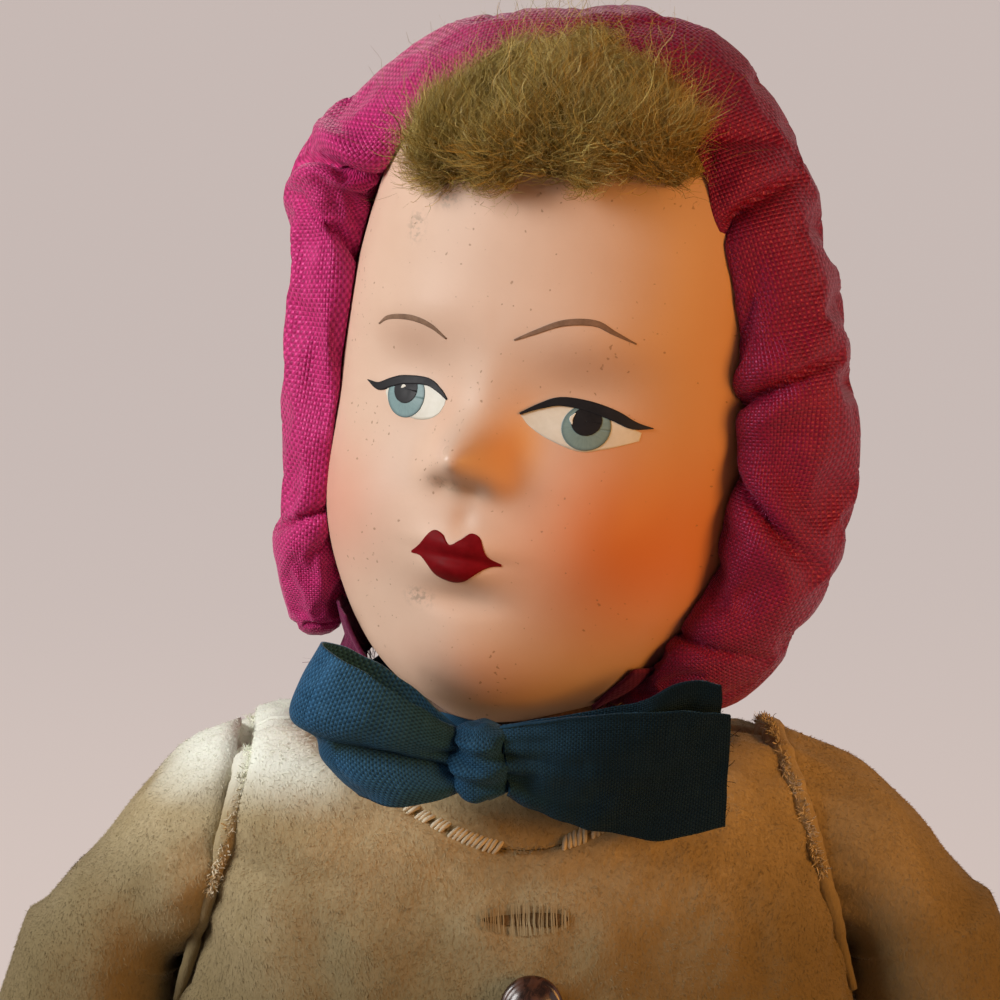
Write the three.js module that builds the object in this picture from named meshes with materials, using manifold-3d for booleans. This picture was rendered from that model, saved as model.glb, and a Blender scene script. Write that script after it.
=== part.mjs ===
// A seated cloth doll with a painted mask face, a padded hood, a ribbon bow and a plush body.
// Millimetres, +Z up. The doll faces -Y, its left side is +X, and the origin is on its flat seat.
import * as THREE from 'three';
import { mergeVertices } from 'three/addons/utils/BufferGeometryUtils.js';
import Module from 'manifold-3d';

const wasm = await Module();
wasm.setup();

// Cloth and fit
const clearance = 0.3;
const plushThickness = 2.2;
const maskThickness = 1.6;
const satinThickness = 2.4;
const hemThickness = 1.4;
const ribbonThickness = 1.2;

// Body
const torsoHeight = 140.5;
const torsoHalfWidth = 57;
const torsoHalfDepth = 44;
const sideSeamBack = 4;
const yokeHalfWidth = 33.5;
const yokeHalfDepth = 30;
const yokeDrop = 32.5;
const yokeFloor = torsoHeight - yokeDrop;

// Armholes: a plane on each side, leaning in towards the neck
const armholeCentreX = 47.2;
const armholeDrop = 21.5;
const armholeCentreZ = torsoHeight - armholeDrop;
const armholeLean = THREE.MathUtils.degToRad(17);

// Arms
const armholeHalfHeight = 18.5;
const armholeHalfDepth = 16.5;
const armLength = 88;
const armHalfThickness = 13;
const armHalfWidth = 16.5;

// Legs
const legSpacing = 56;
const legHalfWidth = 23;
const thighRadius = 20;
const legLength = 118;
const hipForward = 26;
const hipOpening = THREE.MathUtils.degToRad(42);
const footHeight = 56;
const footHalfWidth = 17;
const footHalfDepth = 17;
const soleThickness = 2;

// Neck and head
const neckSink = 2.5;
const neckHeight = torsoHeight - neckSink;
const neckRadius = 17;
const neckLean = THREE.MathUtils.degToRad(8);
const headTurn = THREE.MathUtils.degToRad(-24);
const headAboveNeck = 62.5;
const chinDrop = 56.5;
const skullHeight = 50;
const faceHalfWidth = 34;
const faceDepth = 35;
const backDepth = 37;
const noseLength = 9.5;
const neckSocketDepth = 16;
const ribbonRecessRadius = 22;
const ribbonRecessDepth = 5.5;

// Relief of the face: how far each feature lies below the middle of the head, and how far it spreads
const eyeDrop = 8;
const eyeSpacing = 14;
const eyeSpread = 7;
const eyeHollow = 2.4;
const noseDrop = 16.5;
const noseSpread = 5.7;
const cheekDrop = 26;
const cheekSpacing = 19;
const cheekSpread = 10;
const cheekHeight = 2.2;
const lipDrop = 30;
const lipSpread = 6;
const lipHeight = 2.6;
const chinFrontDrop = 46;
const chinSpread = 7.5;
const chinHeight = 2.4;

// Hood and hair
const rollHalfThickness = 6.8;
const rollHalfDepth = 13;
const rollForward = 7;
const hoodEndDrop = 46;
const hemHeight = 5;
const tuftHalfWidth = 26;
const tuftHalfDepth = 14;
const tuftHalfHeight = 14.5;
const tuftHeight = 39;
const weftThickness = 0.9;

// Bow and button
const ribbonWidth = 25;
const bandReach = 33;
const bandDrop = 13.5;
const bandFloor = torsoHeight - bandDrop;
const bandThickness = 1.8;
const knotOffset = 8;
const knotDrop = 3.5;
const knotHeight = torsoHeight - knotDrop;
const knotHalfWidth = 5.6;
const knotHalfDepth = 6;
const knotHalfHeight = 6.6;
const loopLength = 26;
const loopHalfDepth = 5.2;
const tailLength = 34;
const backTailLength = 27;
const buttonRadius = 4.7;
const buttonThickness = 3.4;
const buttonDrop = 34.5;
const buttonHeight = torsoHeight - buttonDrop;
const threadRadius = 1.4;
const threadLength = 1.6;

// Mesh counts
const bodySides = 20;
const headSides = 22;
const limbSides = 12;
const rollSides = 10;
const loopPoints = 16;
const farAway = 400;

const plush = () => new THREE.MeshStandardMaterial({ color: 0xd7c3a0, roughness: 0.95, metalness: 0 });
const stuffing = () => new THREE.MeshStandardMaterial({ color: 0xe8e0cf, roughness: 1, metalness: 0 });
const satin = () => new THREE.MeshStandardMaterial({ color: 0xaf1955, roughness: 0.45, metalness: 0 });
const hem = () => new THREE.MeshStandardMaterial({ color: 0x6b2048, roughness: 0.9, metalness: 0 });
const ribbon = () => new THREE.MeshStandardMaterial({ color: 0x192d4b, roughness: 0.6, metalness: 0 });
const paint = () => new THREE.MeshStandardMaterial({ color: 0xe1af91, roughness: 0.4, metalness: 0 });
const muslin = () => new THREE.MeshStandardMaterial({ color: 0xd9c9ae, roughness: 0.95, metalness: 0 });
const mohair = () => new THREE.MeshStandardMaterial({ color: 0x96783c, roughness: 0.9, metalness: 0 });
const felt = () => new THREE.MeshStandardMaterial({ color: 0xcdb48c, roughness: 1, metalness: 0 });
const casein = () => new THREE.MeshStandardMaterial({ color: 0x3a2416, roughness: 0.35, metalness: 0 });

// A closed solid from a geometry, with its faces turned outwards.
function solid(geometry) {
  geometry.deleteAttribute('normal');
  geometry.deleteAttribute('uv');
  const merged = mergeVertices(geometry, 1e-4);
  const triVerts = new Uint32Array(merged.index.array);
  const vertProperties = new Float32Array(merged.attributes.position.array);
  let volume = 0;
  const corner = [new THREE.Vector3(), new THREE.Vector3(), new THREE.Vector3()];
  for (let t = 0; t < triVerts.length; t += 3) {
    corner.forEach((c, k) => c.fromArray(vertProperties, 3 * triVerts[t + k]));
    volume += corner[0].dot(corner[1].clone().cross(corner[2]));
  }
  if (volume < 0) {
    triVerts.reverse();
  }
  return new wasm.Manifold(new wasm.Mesh({ numProp: 3, vertProperties, triVerts }));
}

// A named mesh from a solid.
function meshOf(name, body, material) {
  const { vertProperties, triVerts } = body.getMesh();
  const geometry = new THREE.BufferGeometry();
  geometry.setAttribute('position', new THREE.BufferAttribute(vertProperties, 3));
  geometry.setIndex(new THREE.BufferAttribute(triVerts, 1));
  geometry.computeVertexNormals();
  const mesh = new THREE.Mesh(geometry, material);
  mesh.name = name;
  return mesh;
}

// A closed skin through a stack of rings, with a fan over each end.
function loft(rings) {
  const sides = rings[0].length;
  const points = rings.flat();
  const index = [];
  for (let r = 0; r + 1 < rings.length; r += 1) {
    for (let s = 0; s < sides; s += 1) {
      const a = r * sides + s;
      const b = r * sides + ((s + 1) % sides);
      index.push(a, b, b + sides, a, b + sides, a + sides);
    }
  }
  [rings[0], rings.at(-1)].forEach((ring, end) => {
    const middle = ring.reduce((sum, p) => sum.add(p), new THREE.Vector3()).divideScalar(sides);
    const hub = points.push(middle) - 1;
    const first = end === 0 ? 0 : (rings.length - 1) * sides;
    for (let s = 0; s < sides; s += 1) {
      const edge = [first + s, first + ((s + 1) % sides)];
      index.push(hub, ...(end === 0 ? edge.reverse() : edge));
    }
  });
  const geometry = new THREE.BufferGeometry().setFromPoints(points);
  geometry.setIndex(index);
  return solid(geometry);
}

// A box between two corners.
function block(low, high) {
  const size = high.clone().sub(low);
  const middle = low.clone().add(high).multiplyScalar(0.5);
  return solid(new THREE.BoxGeometry(size.x, size.y, size.z).translate(middle.x, middle.y, middle.z));
}

// Everything on the far side of a plane, away from its normal.
function behindPlane(point, normal) {
  const turn = new THREE.Quaternion().setFromUnitVectors(new THREE.Vector3(0, 0, 1), normal);
  const shape = new THREE.BoxGeometry(2 * farAway, 2 * farAway, farAway).translate(0, 0, -farAway / 2);
  return solid(shape.applyQuaternion(turn).translate(point.x, point.y, point.z));
}

// A round bar along an axis through a point.
function bar(radius, from, to, axis, point, sides = bodySides) {
  const turn = new THREE.Quaternion().setFromUnitVectors(new THREE.Vector3(0, 1, 0), axis);
  const shape = new THREE.CylinderGeometry(radius, radius, to - from, sides).translate(0, (from + to) / 2, 0);
  return solid(shape.applyQuaternion(turn).translate(point.x, point.y, point.z));
}

// A smooth curve of stations, read at a number of even steps.
function stations(rows, steps) {
  const curve = new THREE.CatmullRomCurve3(rows.map((row) => new THREE.Vector3(...row)));
  return curve.getPoints(steps);
}

// One number of a rounded outline: squarer than a circle where the power is above two.
function rounded(value, power) {
  return Math.sign(value) * Math.abs(value) ** (2 / power);
}

// Body: shares of the height, half-width and half-depth, from the seat to the neck.
const torsoRows = [
  [0, 0.8, 0.8], [0.09, 0.95, 0.94], [0.3, 1, 1], [0.52, 0.97, 0.97], [0.72, 0.93, 0.86], [0.84, 0.91, 0.75],
  [0.92, 0.865, 0.66], [0.97, 0.76, 0.54], [1, 0.5, 0.36],
];
function torsoForm(offset) {
  const rings = stations(torsoRows, 12).map((row) => Array.from({ length: bodySides }, (_, s) => {
    const angle = (2 * Math.PI * s) / bodySides;
    return new THREE.Vector3(
      (torsoHalfWidth * row.y + offset) * rounded(Math.cos(angle), 2.3),
      (torsoHalfDepth * row.z + offset) * rounded(Math.sin(angle), 2.3),
      -offset + (torsoHeight + 2 * offset) * row.x,
    );
  }));
  return loft(rings);
}

// How far the middle of the chest stands out at a height.
function torsoDepthAt(height) {
  return torsoHalfDepth * stations(torsoRows, 200).find((row) => row.x * torsoHeight >= height).z;
}

const up = new THREE.Vector3(0, 0, 1);
const side = new THREE.Vector3(1, 0, 0);
const front = new THREE.Vector3(0, -1, 0);
const origin = new THREE.Vector3();
const neckPoint = new THREE.Vector3(0, 0, neckHeight);
const neckAxis = new THREE.Vector3(Math.sin(neckLean), 0, Math.cos(neckLean));
const hipPoint = new THREE.Vector3(0, -hipForward, thighRadius + clearance);
const lapRadius = thighRadius + clearance;

// The armhole plane of one side, and the way down along it.
const armholePoint = (hand) => new THREE.Vector3(hand * armholeCentreX, 0, armholeCentreZ);
const armholeNormal = (hand) => new THREE.Vector3(hand * Math.cos(armholeLean), 0, Math.sin(armholeLean));
const armholeDown = (hand) => new THREE.Vector3(hand * Math.sin(armholeLean), 0, -Math.cos(armholeLean));

// The lap: a round groove that the thighs turn in, open to the front and below.
function lap(extra) {
  const radius = lapRadius + extra;
  const groove = bar(radius, -farAway, farAway, side, hipPoint, 28);
  const above = block(
    new THREE.Vector3(-farAway, -farAway, -farAway),
    new THREE.Vector3(farAway, hipPoint.y, hipPoint.z + radius),
  );
  const lip = block(
    new THREE.Vector3(-farAway, -farAway, -farAway),
    new THREE.Vector3(farAway, hipPoint.y + radius, hipPoint.z),
  );
  return groove.add(above).add(lip);
}

function trimmedTorso(offset) {
  const inside = [-1, 1].map((hand) => {
    const seam = armholePoint(hand).addScaledVector(armholeNormal(hand), offset);
    return behindPlane(seam, armholeNormal(hand));
  });
  return torsoForm(offset).intersect(inside[0]).intersect(inside[1]);
}

const neckBottom = -2.5 * neckRadius;
const neckBar = (extra) => bar(neckRadius + extra, neckBottom - extra, farAway, neckAxis, neckPoint);
const yokeRing = (extra) => {
  const shape = new THREE.CylinderGeometry(1, 1, farAway, bodySides).rotateX(Math.PI / 2);
  shape.scale(yokeHalfWidth + extra, yokeHalfDepth + extra, 1).translate(0, 0, yokeFloor + farAway / 2);
  return solid(shape);
};

const doll = new THREE.Group();

function buildTorso() {
  const hollow = trimmedTorso(-plushThickness).subtract(lap(plushThickness));
  const skin = trimmedTorso(0).subtract(lap(0)).subtract(hollow).subtract(neckBar(clearance));
  const panels = skin.subtract(yokeRing(clearance));
  const frontSide = behindPlane(new THREE.Vector3(0, sideSeamBack, 0), front.clone().negate());
  const backSide = behindPlane(new THREE.Vector3(0, sideSeamBack + clearance, 0), front);
  doll.add(meshOf('torso_front', panels.intersect(frontSide), plush()));
  doll.add(meshOf('torso_back', panels.intersect(backSide), plush()));
  doll.add(meshOf('neck_yoke', skin.intersect(yokeRing(0)), plush()));

  const inset = plushThickness + clearance;
  const filling = trimmedTorso(-inset).subtract(lap(inset)).subtract(neckBar(clearance));
  doll.add(meshOf('torso_stuffing', filling, stuffing()));
  const neckTop = headAboveNeck - chinDrop + neckSocketDepth - clearance;
  doll.add(meshOf('neck_stub', bar(neckRadius, neckBottom, neckTop, neckAxis, neckPoint), muslin()));
}

// Arms: rings fan out of the armhole about the armpit, then run down beside the body.
const armRows = [
  [0, 1, 1.08], [0.2, 1.06, 1.06], [0.45, 1, 1], [0.7, 0.86, 0.84], [0.8, 0.82, 0.8], [0.9, 0.94, 0.92],
  [0.97, 0.72, 0.74], [1, 0.34, 0.36],
];
function armForm(hand, inset, rootExtra) {
  const out = armholeNormal(hand);
  const down = armholeDown(hand);
  const depth = new THREE.Vector3(0, 1, 0);
  const armpit = armholePoint(hand).addScaledVector(down, armholeHalfHeight).addScaledVector(out, clearance);
  const ring = (middle, across, halfAcross, halfDepth) => Array.from({ length: limbSides }, (_, s) => {
    const angle = (2 * Math.PI * s) / limbSides;
    return middle.clone()
      .addScaledVector(across, (halfAcross - inset) * Math.cos(angle))
      .addScaledVector(depth, (halfDepth - inset) * Math.sin(angle));
  });
  const rings = [];
  const fanSteps = 3;
  for (let k = 0; k < fanSteps; k += 1) {
    const share = k / fanSteps;
    const angle = share * Math.PI / 2;
    const across = down.clone().multiplyScalar(-Math.cos(angle)).addScaledVector(out, Math.sin(angle));
    const halfAcross = THREE.MathUtils.lerp(armholeHalfHeight, armHalfThickness * armRows[0][1], share);
    const halfDepth = THREE.MathUtils.lerp(armholeHalfDepth, armHalfWidth * armRows[0][2], share);
    rings.push(ring(armpit.clone().addScaledVector(across, halfAcross), across, halfAcross, halfDepth));
  }
  if (rootExtra > 0) {
    rings.unshift(rings[0].map((p) => p.clone().addScaledVector(out, -rootExtra)));
  }
  stations(armRows, 9).forEach((row) => {
    const middle = armpit.clone()
      .addScaledVector(down, (armLength - inset) * row.x)
      .addScaledVector(out, armHalfThickness * armRows[1][1]);
    rings.push(ring(middle, out, armHalfThickness * row.y, armHalfWidth * row.z));
  });
  return loft(rings);
}

function buildArm(name, hand) {
  const cover = armForm(hand, 0, 0).subtract(armForm(hand, plushThickness, 2 * plushThickness));
  doll.add(meshOf(`${name}_cover`, cover, plush()));
  doll.add(meshOf(`${name}_stuffing`, armForm(hand, plushThickness + clearance, 0), stuffing()));
}

// Legs: they lie forward from the hip, with the foot standing up at the end.
const legRows = [[0, 1, 1], [0.22, 0.98, 1], [0.5, 0.8, 0.84], [0.7, 0.78, 0.8], [0.9, 0.66, 0.7], [1, 0.6, 0.62]];
function legForm(hand, inset) {
  const middleX = hand * legSpacing / 2;
  const ring = (y, halfWidth, halfHeight, middleZ) => Array.from({ length: limbSides }, (_, s) => {
    const angle = (2 * Math.PI * s) / limbSides;
    return new THREE.Vector3(
      middleX + (halfWidth - inset) * Math.cos(angle),
      y,
      middleZ + (halfHeight - inset) * Math.sin(angle),
    );
  });
  const rings = [1, 0.5].map((share) => {
    const angle = share * hipOpening;
    const y = hipPoint.y + thighRadius * Math.sin(angle);
    return ring(y, legHalfWidth * Math.cos(angle), thighRadius * Math.cos(angle), hipPoint.z);
  });
  if (inset > 0) {
    rings.unshift(rings[0].map((p) => p.clone().addScaledVector(front, -inset)));
  }
  stations(legRows, 7).forEach((row) => {
    const halfHeight = thighRadius * row.z;
    const middleZ = clearance + halfHeight;
    rings.push(ring(hipPoint.y - legLength * row.x, legHalfWidth * row.y, halfHeight, middleZ));
  });
  const foot = new THREE.SphereGeometry(1, limbSides, 8);
  foot.scale(footHalfWidth - inset, footHalfDepth - inset, footHeight / 2 - inset);
  foot.translate(middleX, hipPoint.y - legLength, clearance + footHeight / 2);
  return loft(rings).add(solid(foot));
}

function buildLeg(name, footName, hand) {
  const soleY = hipPoint.y - legLength - 0.55 * footHalfDepth;
  const hipY = hipPoint.y + thighRadius * Math.sin(hipOpening);
  const openEnd = new THREE.Vector3(0, hipY, 0);
  const behindSole = behindPlane(new THREE.Vector3(0, soleY, 0), front);
  const beforeHip = behindPlane(openEnd, front.clone().negate());
  const cover = legForm(hand, 0).subtract(legForm(hand, plushThickness)).intersect(behindSole);
  doll.add(meshOf(`${name}_cover`, cover, plush()));
  const fillingEnd = behindPlane(new THREE.Vector3(0, soleY + clearance, 0), front);
  const filling = legForm(hand, plushThickness + clearance).intersect(fillingEnd).intersect(beforeHip);
  doll.add(meshOf(`${name}_stuffing`, filling, stuffing()));

  const soleShare = Math.sqrt(1 - 0.55 ** 2);
  const oval = new THREE.CylinderGeometry(1, 1, soleThickness, 20);
  oval.scale(footHalfWidth * soleShare, 1, footHeight / 2 * soleShare);
  oval.translate(hand * legSpacing / 2, soleY - clearance - soleThickness / 2, clearance + footHeight / 2);
  doll.add(meshOf(footName, solid(oval), felt()));
}

// Head, in its own frame: the origin is the middle of the head on the neck's axis.
const head = new THREE.Group();
head.position.copy(neckPoint).addScaledVector(neckAxis, headAboveNeck);
head.quaternion.setFromAxisAngle(new THREE.Vector3(0, 1, 0), neckLean)
  .multiply(new THREE.Quaternion().setFromAxisAngle(up, headTurn));
doll.add(head);

// Shares of the height, half-width, front depth and back depth, from the chin to the crown.
const headRows = [
  [0, 0.3, 0.66, 0.4], [0.05, 0.6, 0.86, 0.56], [0.13, 0.82, 0.95, 0.7], [0.25, 0.97, 1, 0.86],
  [0.42, 1, 0.97, 0.97], [0.62, 0.98, 0.97, 1], [0.8, 0.86, 0.88, 0.9], [0.93, 0.6, 0.64, 0.62], [1, 0.2, 0.22, 0.2],
];
const headSpan = chinDrop + skullHeight;

// Relief of the face: nose, lips, chin and cheeks stand out, the eyes lie in.
function faceRelief(x, z) {
  const mound = (height, middleX, drop, spread) => (
    height * Math.exp(-(((x - middleX) / spread) ** 2) - ((z + drop) / spread) ** 2)
  );
  const pair = (height, spacing, drop, spread) => (
    mound(height, -spacing, drop, spread) + mound(height, spacing, drop, spread)
  );
  const cheeks = pair(cheekHeight, cheekSpacing, cheekDrop, cheekSpread);
  const eyes = pair(-eyeHollow, eyeSpacing, eyeDrop, eyeSpread);
  const nose = mound(noseLength, 0, noseDrop, noseSpread) + mound(noseLength / 3, 0, eyeDrop, noseSpread);
  const mouth = mound(lipHeight, 0, lipDrop, lipSpread) + mound(chinHeight, 0, chinFrontDrop, chinSpread);
  return cheeks + eyes + nose + mouth;
}

function headForm(offset, relief) {
  const shape = stations(headRows.map(([s, w, f]) => [s, w, f]), 14);
  const backs = stations(headRows.map(([s, w, , b]) => [s, w, b]), 14);
  const rings = shape.map((row, r) => Array.from({ length: headSides }, (_, s) => {
    const even = (2 * Math.PI * s) / headSides;
    const angle = even - 0.35 * Math.sin(even);
    const cosine = Math.cos(angle);
    const depth = cosine > 0 ? faceDepth * row.z : backDepth * backs[r].z;
    const x = (faceHalfWidth * row.y + offset) * rounded(Math.sin(angle), 2.15);
    const z = -chinDrop - offset + (headSpan + 2 * offset) * row.x;
    const raised = relief && cosine > 0 ? faceRelief(x, z) * cosine : 0;
    return new THREE.Vector3(x, -(depth + offset) * rounded(cosine, 2.15) - raised, z);
  }));
  return loft(rings);
}

// The roll of the hood runs from jaw to jaw over the crown: shares of the face's half-width and of the skull's height.
const rollRows = [
  [0.76, -0.94], [1.0, -0.74], [1.13, -0.36], [1.14, 0.05], [1.08, 0.48], [0.82, 0.83], [0.38, 1.0], [0, 1.04],
];
function rollForm(extra) {
  const half = rollRows.map(([x, z]) => [x * faceHalfWidth, z]);
  const mirrored = half.slice(0, -1).reverse().map(([x, z]) => [-x, z]);
  const path = new THREE.CatmullRomCurve3([...half, ...mirrored].map(([x, z]) => (
    new THREE.Vector3(x, 0, z > 0 ? z * skullHeight : z * hoodEndDrop)
  )));
  const steps = 20;
  const rings = Array.from({ length: steps + 1 }, (_, k) => {
    const along = k / steps;
    const middle = path.getPointAt(along);
    const tangent = path.getTangentAt(along);
    const outward = new THREE.Vector3(-tangent.z, 0, tangent.x);
    const swell = 0.42 + 0.58 * Math.sin(Math.PI * along) ** 0.45;
    const halfThickness = rollHalfThickness * swell + extra;
    const halfDepth = rollHalfDepth * swell + extra;
    return Array.from({ length: rollSides }, (__, s) => {
      const angle = (2 * Math.PI * s) / rollSides;
      return middle.clone()
        .addScaledVector(outward, halfThickness * Math.cos(angle))
        .addScaledVector(front, rollForward + halfDepth * Math.sin(angle));
    });
  });
  return loft(rings);
}

function buildHead() {
  const core = (offset, relief = false) => headForm(offset, relief);
  const below = -chinDrop;
  const neckHole = bar(neckRadius + clearance, -farAway, below + neckSocketDepth, up, origin);
  const ribbonRoom = bar(ribbonRecessRadius, -farAway, below + ribbonRecessDepth, up, origin);
  const bare = (body) => body.subtract(neckHole).subtract(ribbonRoom);

  const maskEdge = new THREE.Vector3(0, 0, 0);
  const backEdge = new THREE.Vector3(0, clearance, 0);
  const shell = bare(core(0, true).subtract(core(-maskThickness)));
  head.add(meshOf('face_mask', shell.intersect(behindPlane(maskEdge, front.clone().negate())), paint()));
  head.add(meshOf('head_back', shell.intersect(behindPlane(backEdge, front)), muslin()));
  head.add(meshOf('head_stuffing', bare(core(-maskThickness - clearance)), stuffing()));

  const roll = rollForm(0).subtract(core(clearance, true));
  head.add(meshOf('hood_roll', roll, satin()));
  const besideRoll = rollForm(clearance);
  const aboveHem = behindPlane(new THREE.Vector3(0, 0, -hoodEndDrop), up.clone().negate());
  const behindRoll = behindPlane(new THREE.Vector3(0, -rollForward, 0), front);
  const crown = core(clearance + satinThickness).subtract(core(clearance)).subtract(besideRoll);
  head.add(meshOf('hood_crown', crown.intersect(aboveHem).intersect(behindRoll), satin()));
  const hemBand = block(
    new THREE.Vector3(-farAway, clearance, -hoodEndDrop - clearance - hemHeight),
    new THREE.Vector3(farAway, farAway, -hoodEndDrop - clearance),
  );
  const hemSkin = core(clearance + hemThickness).subtract(core(clearance)).subtract(besideRoll);
  head.add(meshOf('hood_neck_edge', hemSkin.intersect(hemBand), hem()));

  const tuftShape = new THREE.SphereGeometry(1, 16, 10).scale(tuftHalfWidth, tuftHalfDepth, tuftHalfHeight);
  const tuft = solid(tuftShape.translate(0, -0.62 * faceDepth, tuftHeight)).subtract(besideRoll);
  const underTuft = clearance + weftThickness;
  head.add(meshOf('hair_tuft', tuft.subtract(core(underTuft + clearance)), mohair()));
  const patch = core(underTuft).subtract(core(clearance));
  head.add(meshOf('hair_weft', patch.intersect(tuft), muslin()));
}

// The room that the turning chin and hood need: the widest reach of the face at each height, all round the neck.
function headSweep() {
  const reach = headRows.slice(0, 5).map(([share, , depth]) => new THREE.Vector2(
    faceDepth * depth + chinHeight + 2 * clearance,
    headSpan * share - chinDrop - 2 * clearance,
  ));
  const top = reach.at(-1).y;
  const profile = [new THREE.Vector2(0, reach[0].y), ...reach, new THREE.Vector2(0, top)];
  const shape = new THREE.LatheGeometry(profile, 36).rotateX(Math.PI / 2);
  head.updateMatrix();
  return solid(shape.applyMatrix4(head.matrix));
}

// Bow: ribbon gathered at the knot and spreading to its full width away from it.
function gathered(shape, length) {
  const geometry = new THREE.ExtrudeGeometry(shape, { depth: ribbonWidth, bevelEnabled: false, curveSegments: 10 });
  geometry.translate(0, 0, -ribbonWidth / 2);
  const place = geometry.attributes.position;
  for (let k = 0; k < place.count; k += 1) {
    const spread = 0.42 + 0.58 * THREE.MathUtils.smoothstep(place.getX(k), 0, 0.8 * length);
    place.setZ(k, place.getZ(k) * spread);
  }
  return geometry;
}

// A strip with one soft wave in plan.
function stripShape(length) {
  const line = new THREE.SplineCurve([
    new THREE.Vector2(0, 0), new THREE.Vector2(0.4 * length, -1.6), new THREE.Vector2(0.75 * length, 0.8),
    new THREE.Vector2(length, -0.6),
  ]).getPoints(8);
  const back = line.map((p) => new THREE.Vector2(p.x, p.y + ribbonThickness)).reverse();
  return new THREE.Shape([...line, ...back]);
}

// A loop in plan: a drop-shaped ring that starts at the knot.
function loopShape() {
  const drop = (inset) => {
    const points = [];
    for (let k = 0; k < loopPoints; k += 1) {
      const angle = (2 * Math.PI * k) / loopPoints;
      const along = (1 - Math.cos(angle)) / 2;
      const half = (inset - loopHalfDepth) * Math.sin(angle) * Math.sqrt(along);
      points.push(new THREE.Vector2(inset * 2 + (loopLength - 3 * inset) * along, half));
    }
    return points;
  };
  const shape = new THREE.Shape(drop(0));
  shape.holes.push(new THREE.Path(drop(ribbonThickness)));
  return shape;
}

function buildBow() {
  const onBody = (extra) => trimmedTorso(bandThickness + clearance + extra);
  const bandRoom = bar(bandReach, bandFloor, torsoHeight + 2 * bandThickness, up, origin);
  const chinRoom = headSweep();
  const band = onBody(0).subtract(trimmedTorso(clearance)).intersect(bandRoom).subtract(neckBar(clearance));
  doll.add(meshOf('ribbon_band', band.subtract(chinRoom), ribbon()));

  const seatHeight = knotHeight - 0.6 * knotHalfHeight;
  const knotY = -torsoDepthAt(seatHeight) - bandThickness - 2 * clearance - 0.6 * knotHalfDepth;
  const knotPlace = new THREE.Vector3(-knotOffset, knotY, knotHeight);
  const knotShape = new THREE.SphereGeometry(1, 12, 8).scale(knotHalfWidth, knotHalfDepth, knotHalfHeight);
  const knot = solid(knotShape.translate(knotPlace.x, knotPlace.y, knotPlace.z)).subtract(onBody(clearance));
  doll.add(meshOf('ribbon_knot', knot.subtract(chinRoom), ribbon()));

  const besideKnot = solid(new THREE.SphereGeometry(1, 12, 8)
    .scale(knotHalfWidth + clearance, knotHalfDepth + clearance, knotHalfHeight + clearance)
    .translate(knotPlace.x, knotPlace.y, knotPlace.z));
  const place = (shape, length, turn, tilt, shift) => {
    const geometry = gathered(shape, length).rotateY(tilt).rotateZ(turn);
    geometry.translate(knotPlace.x + shift.x, knotPlace.y + shift.y, knotPlace.z + shift.z);
    return solid(geometry).subtract(besideKnot).subtract(onBody(clearance)).subtract(chinRoom);
  };
  const degrees = THREE.MathUtils.degToRad;
  const loopStart = new THREE.Vector3(-0.7 * knotHalfWidth, -0.1 * knotHalfDepth, 0);
  const loopTurn = Math.PI - degrees(16);
  doll.add(meshOf('ribbon_right_loop', place(loopShape(), loopLength, loopTurn, degrees(-12), loopStart), ribbon()));
  const tailStart = new THREE.Vector3(0.6 * knotHalfWidth, -0.8 * knotHalfDepth, 0);
  const tail = place(stripShape(tailLength), tailLength, degrees(4), degrees(9), tailStart);
  doll.add(meshOf('ribbon_left_tail', tail, ribbon()));
  const layerStart = new THREE.Vector3(0.6 * knotHalfWidth, -0.3 * knotHalfDepth, 1);
  const layer = place(stripShape(backTailLength), backTailLength, degrees(6), degrees(5), layerStart);
  doll.add(meshOf('ribbon_back_tail', layer, ribbon()));
}

// Button: a low dome held off the plush by its thread.
function buildButton() {
  const threadEnd = -torsoDepthAt(buttonHeight) - clearance - threadLength;
  const threadRoot = new THREE.Vector3(0, threadEnd, buttonHeight);
  const thread = bar(threadRadius, 0, 2 * threadLength, front.clone().negate(), threadRoot, 12);
  doll.add(meshOf('button_thread', thread.subtract(torsoForm(clearance)), muslin()));
  const dome = new THREE.SplineCurve([
    new THREE.Vector2(buttonRadius, 0.25 * buttonThickness),
    new THREE.Vector2(0.86 * buttonRadius, 0.72 * buttonThickness),
    new THREE.Vector2(0.45 * buttonRadius, 0.95 * buttonThickness),
    new THREE.Vector2(0, buttonThickness),
  ]).getPoints(4);
  const profile = [new THREE.Vector2(0, 0), new THREE.Vector2(0.8 * buttonRadius, 0), ...dome];
  profile.at(-1).x = 0;
  const shape = new THREE.LatheGeometry(profile, 16).rotateX(Math.PI);
  shape.translate(0, threadEnd - clearance, buttonHeight);
  doll.add(meshOf('front_button', solid(shape), casein()));
}

buildTorso();
buildBow();
buildButton();
buildHead();
buildArm('arm_left', 1);
buildArm('arm_right', -1);
buildLeg('leg_left', 'foot_left_sole', 1);
buildLeg('leg_right', 'foot_right_sole', -1);

export default doll;
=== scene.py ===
from math import atan2, cos, hypot, pi, radians, sin, sqrt

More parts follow.
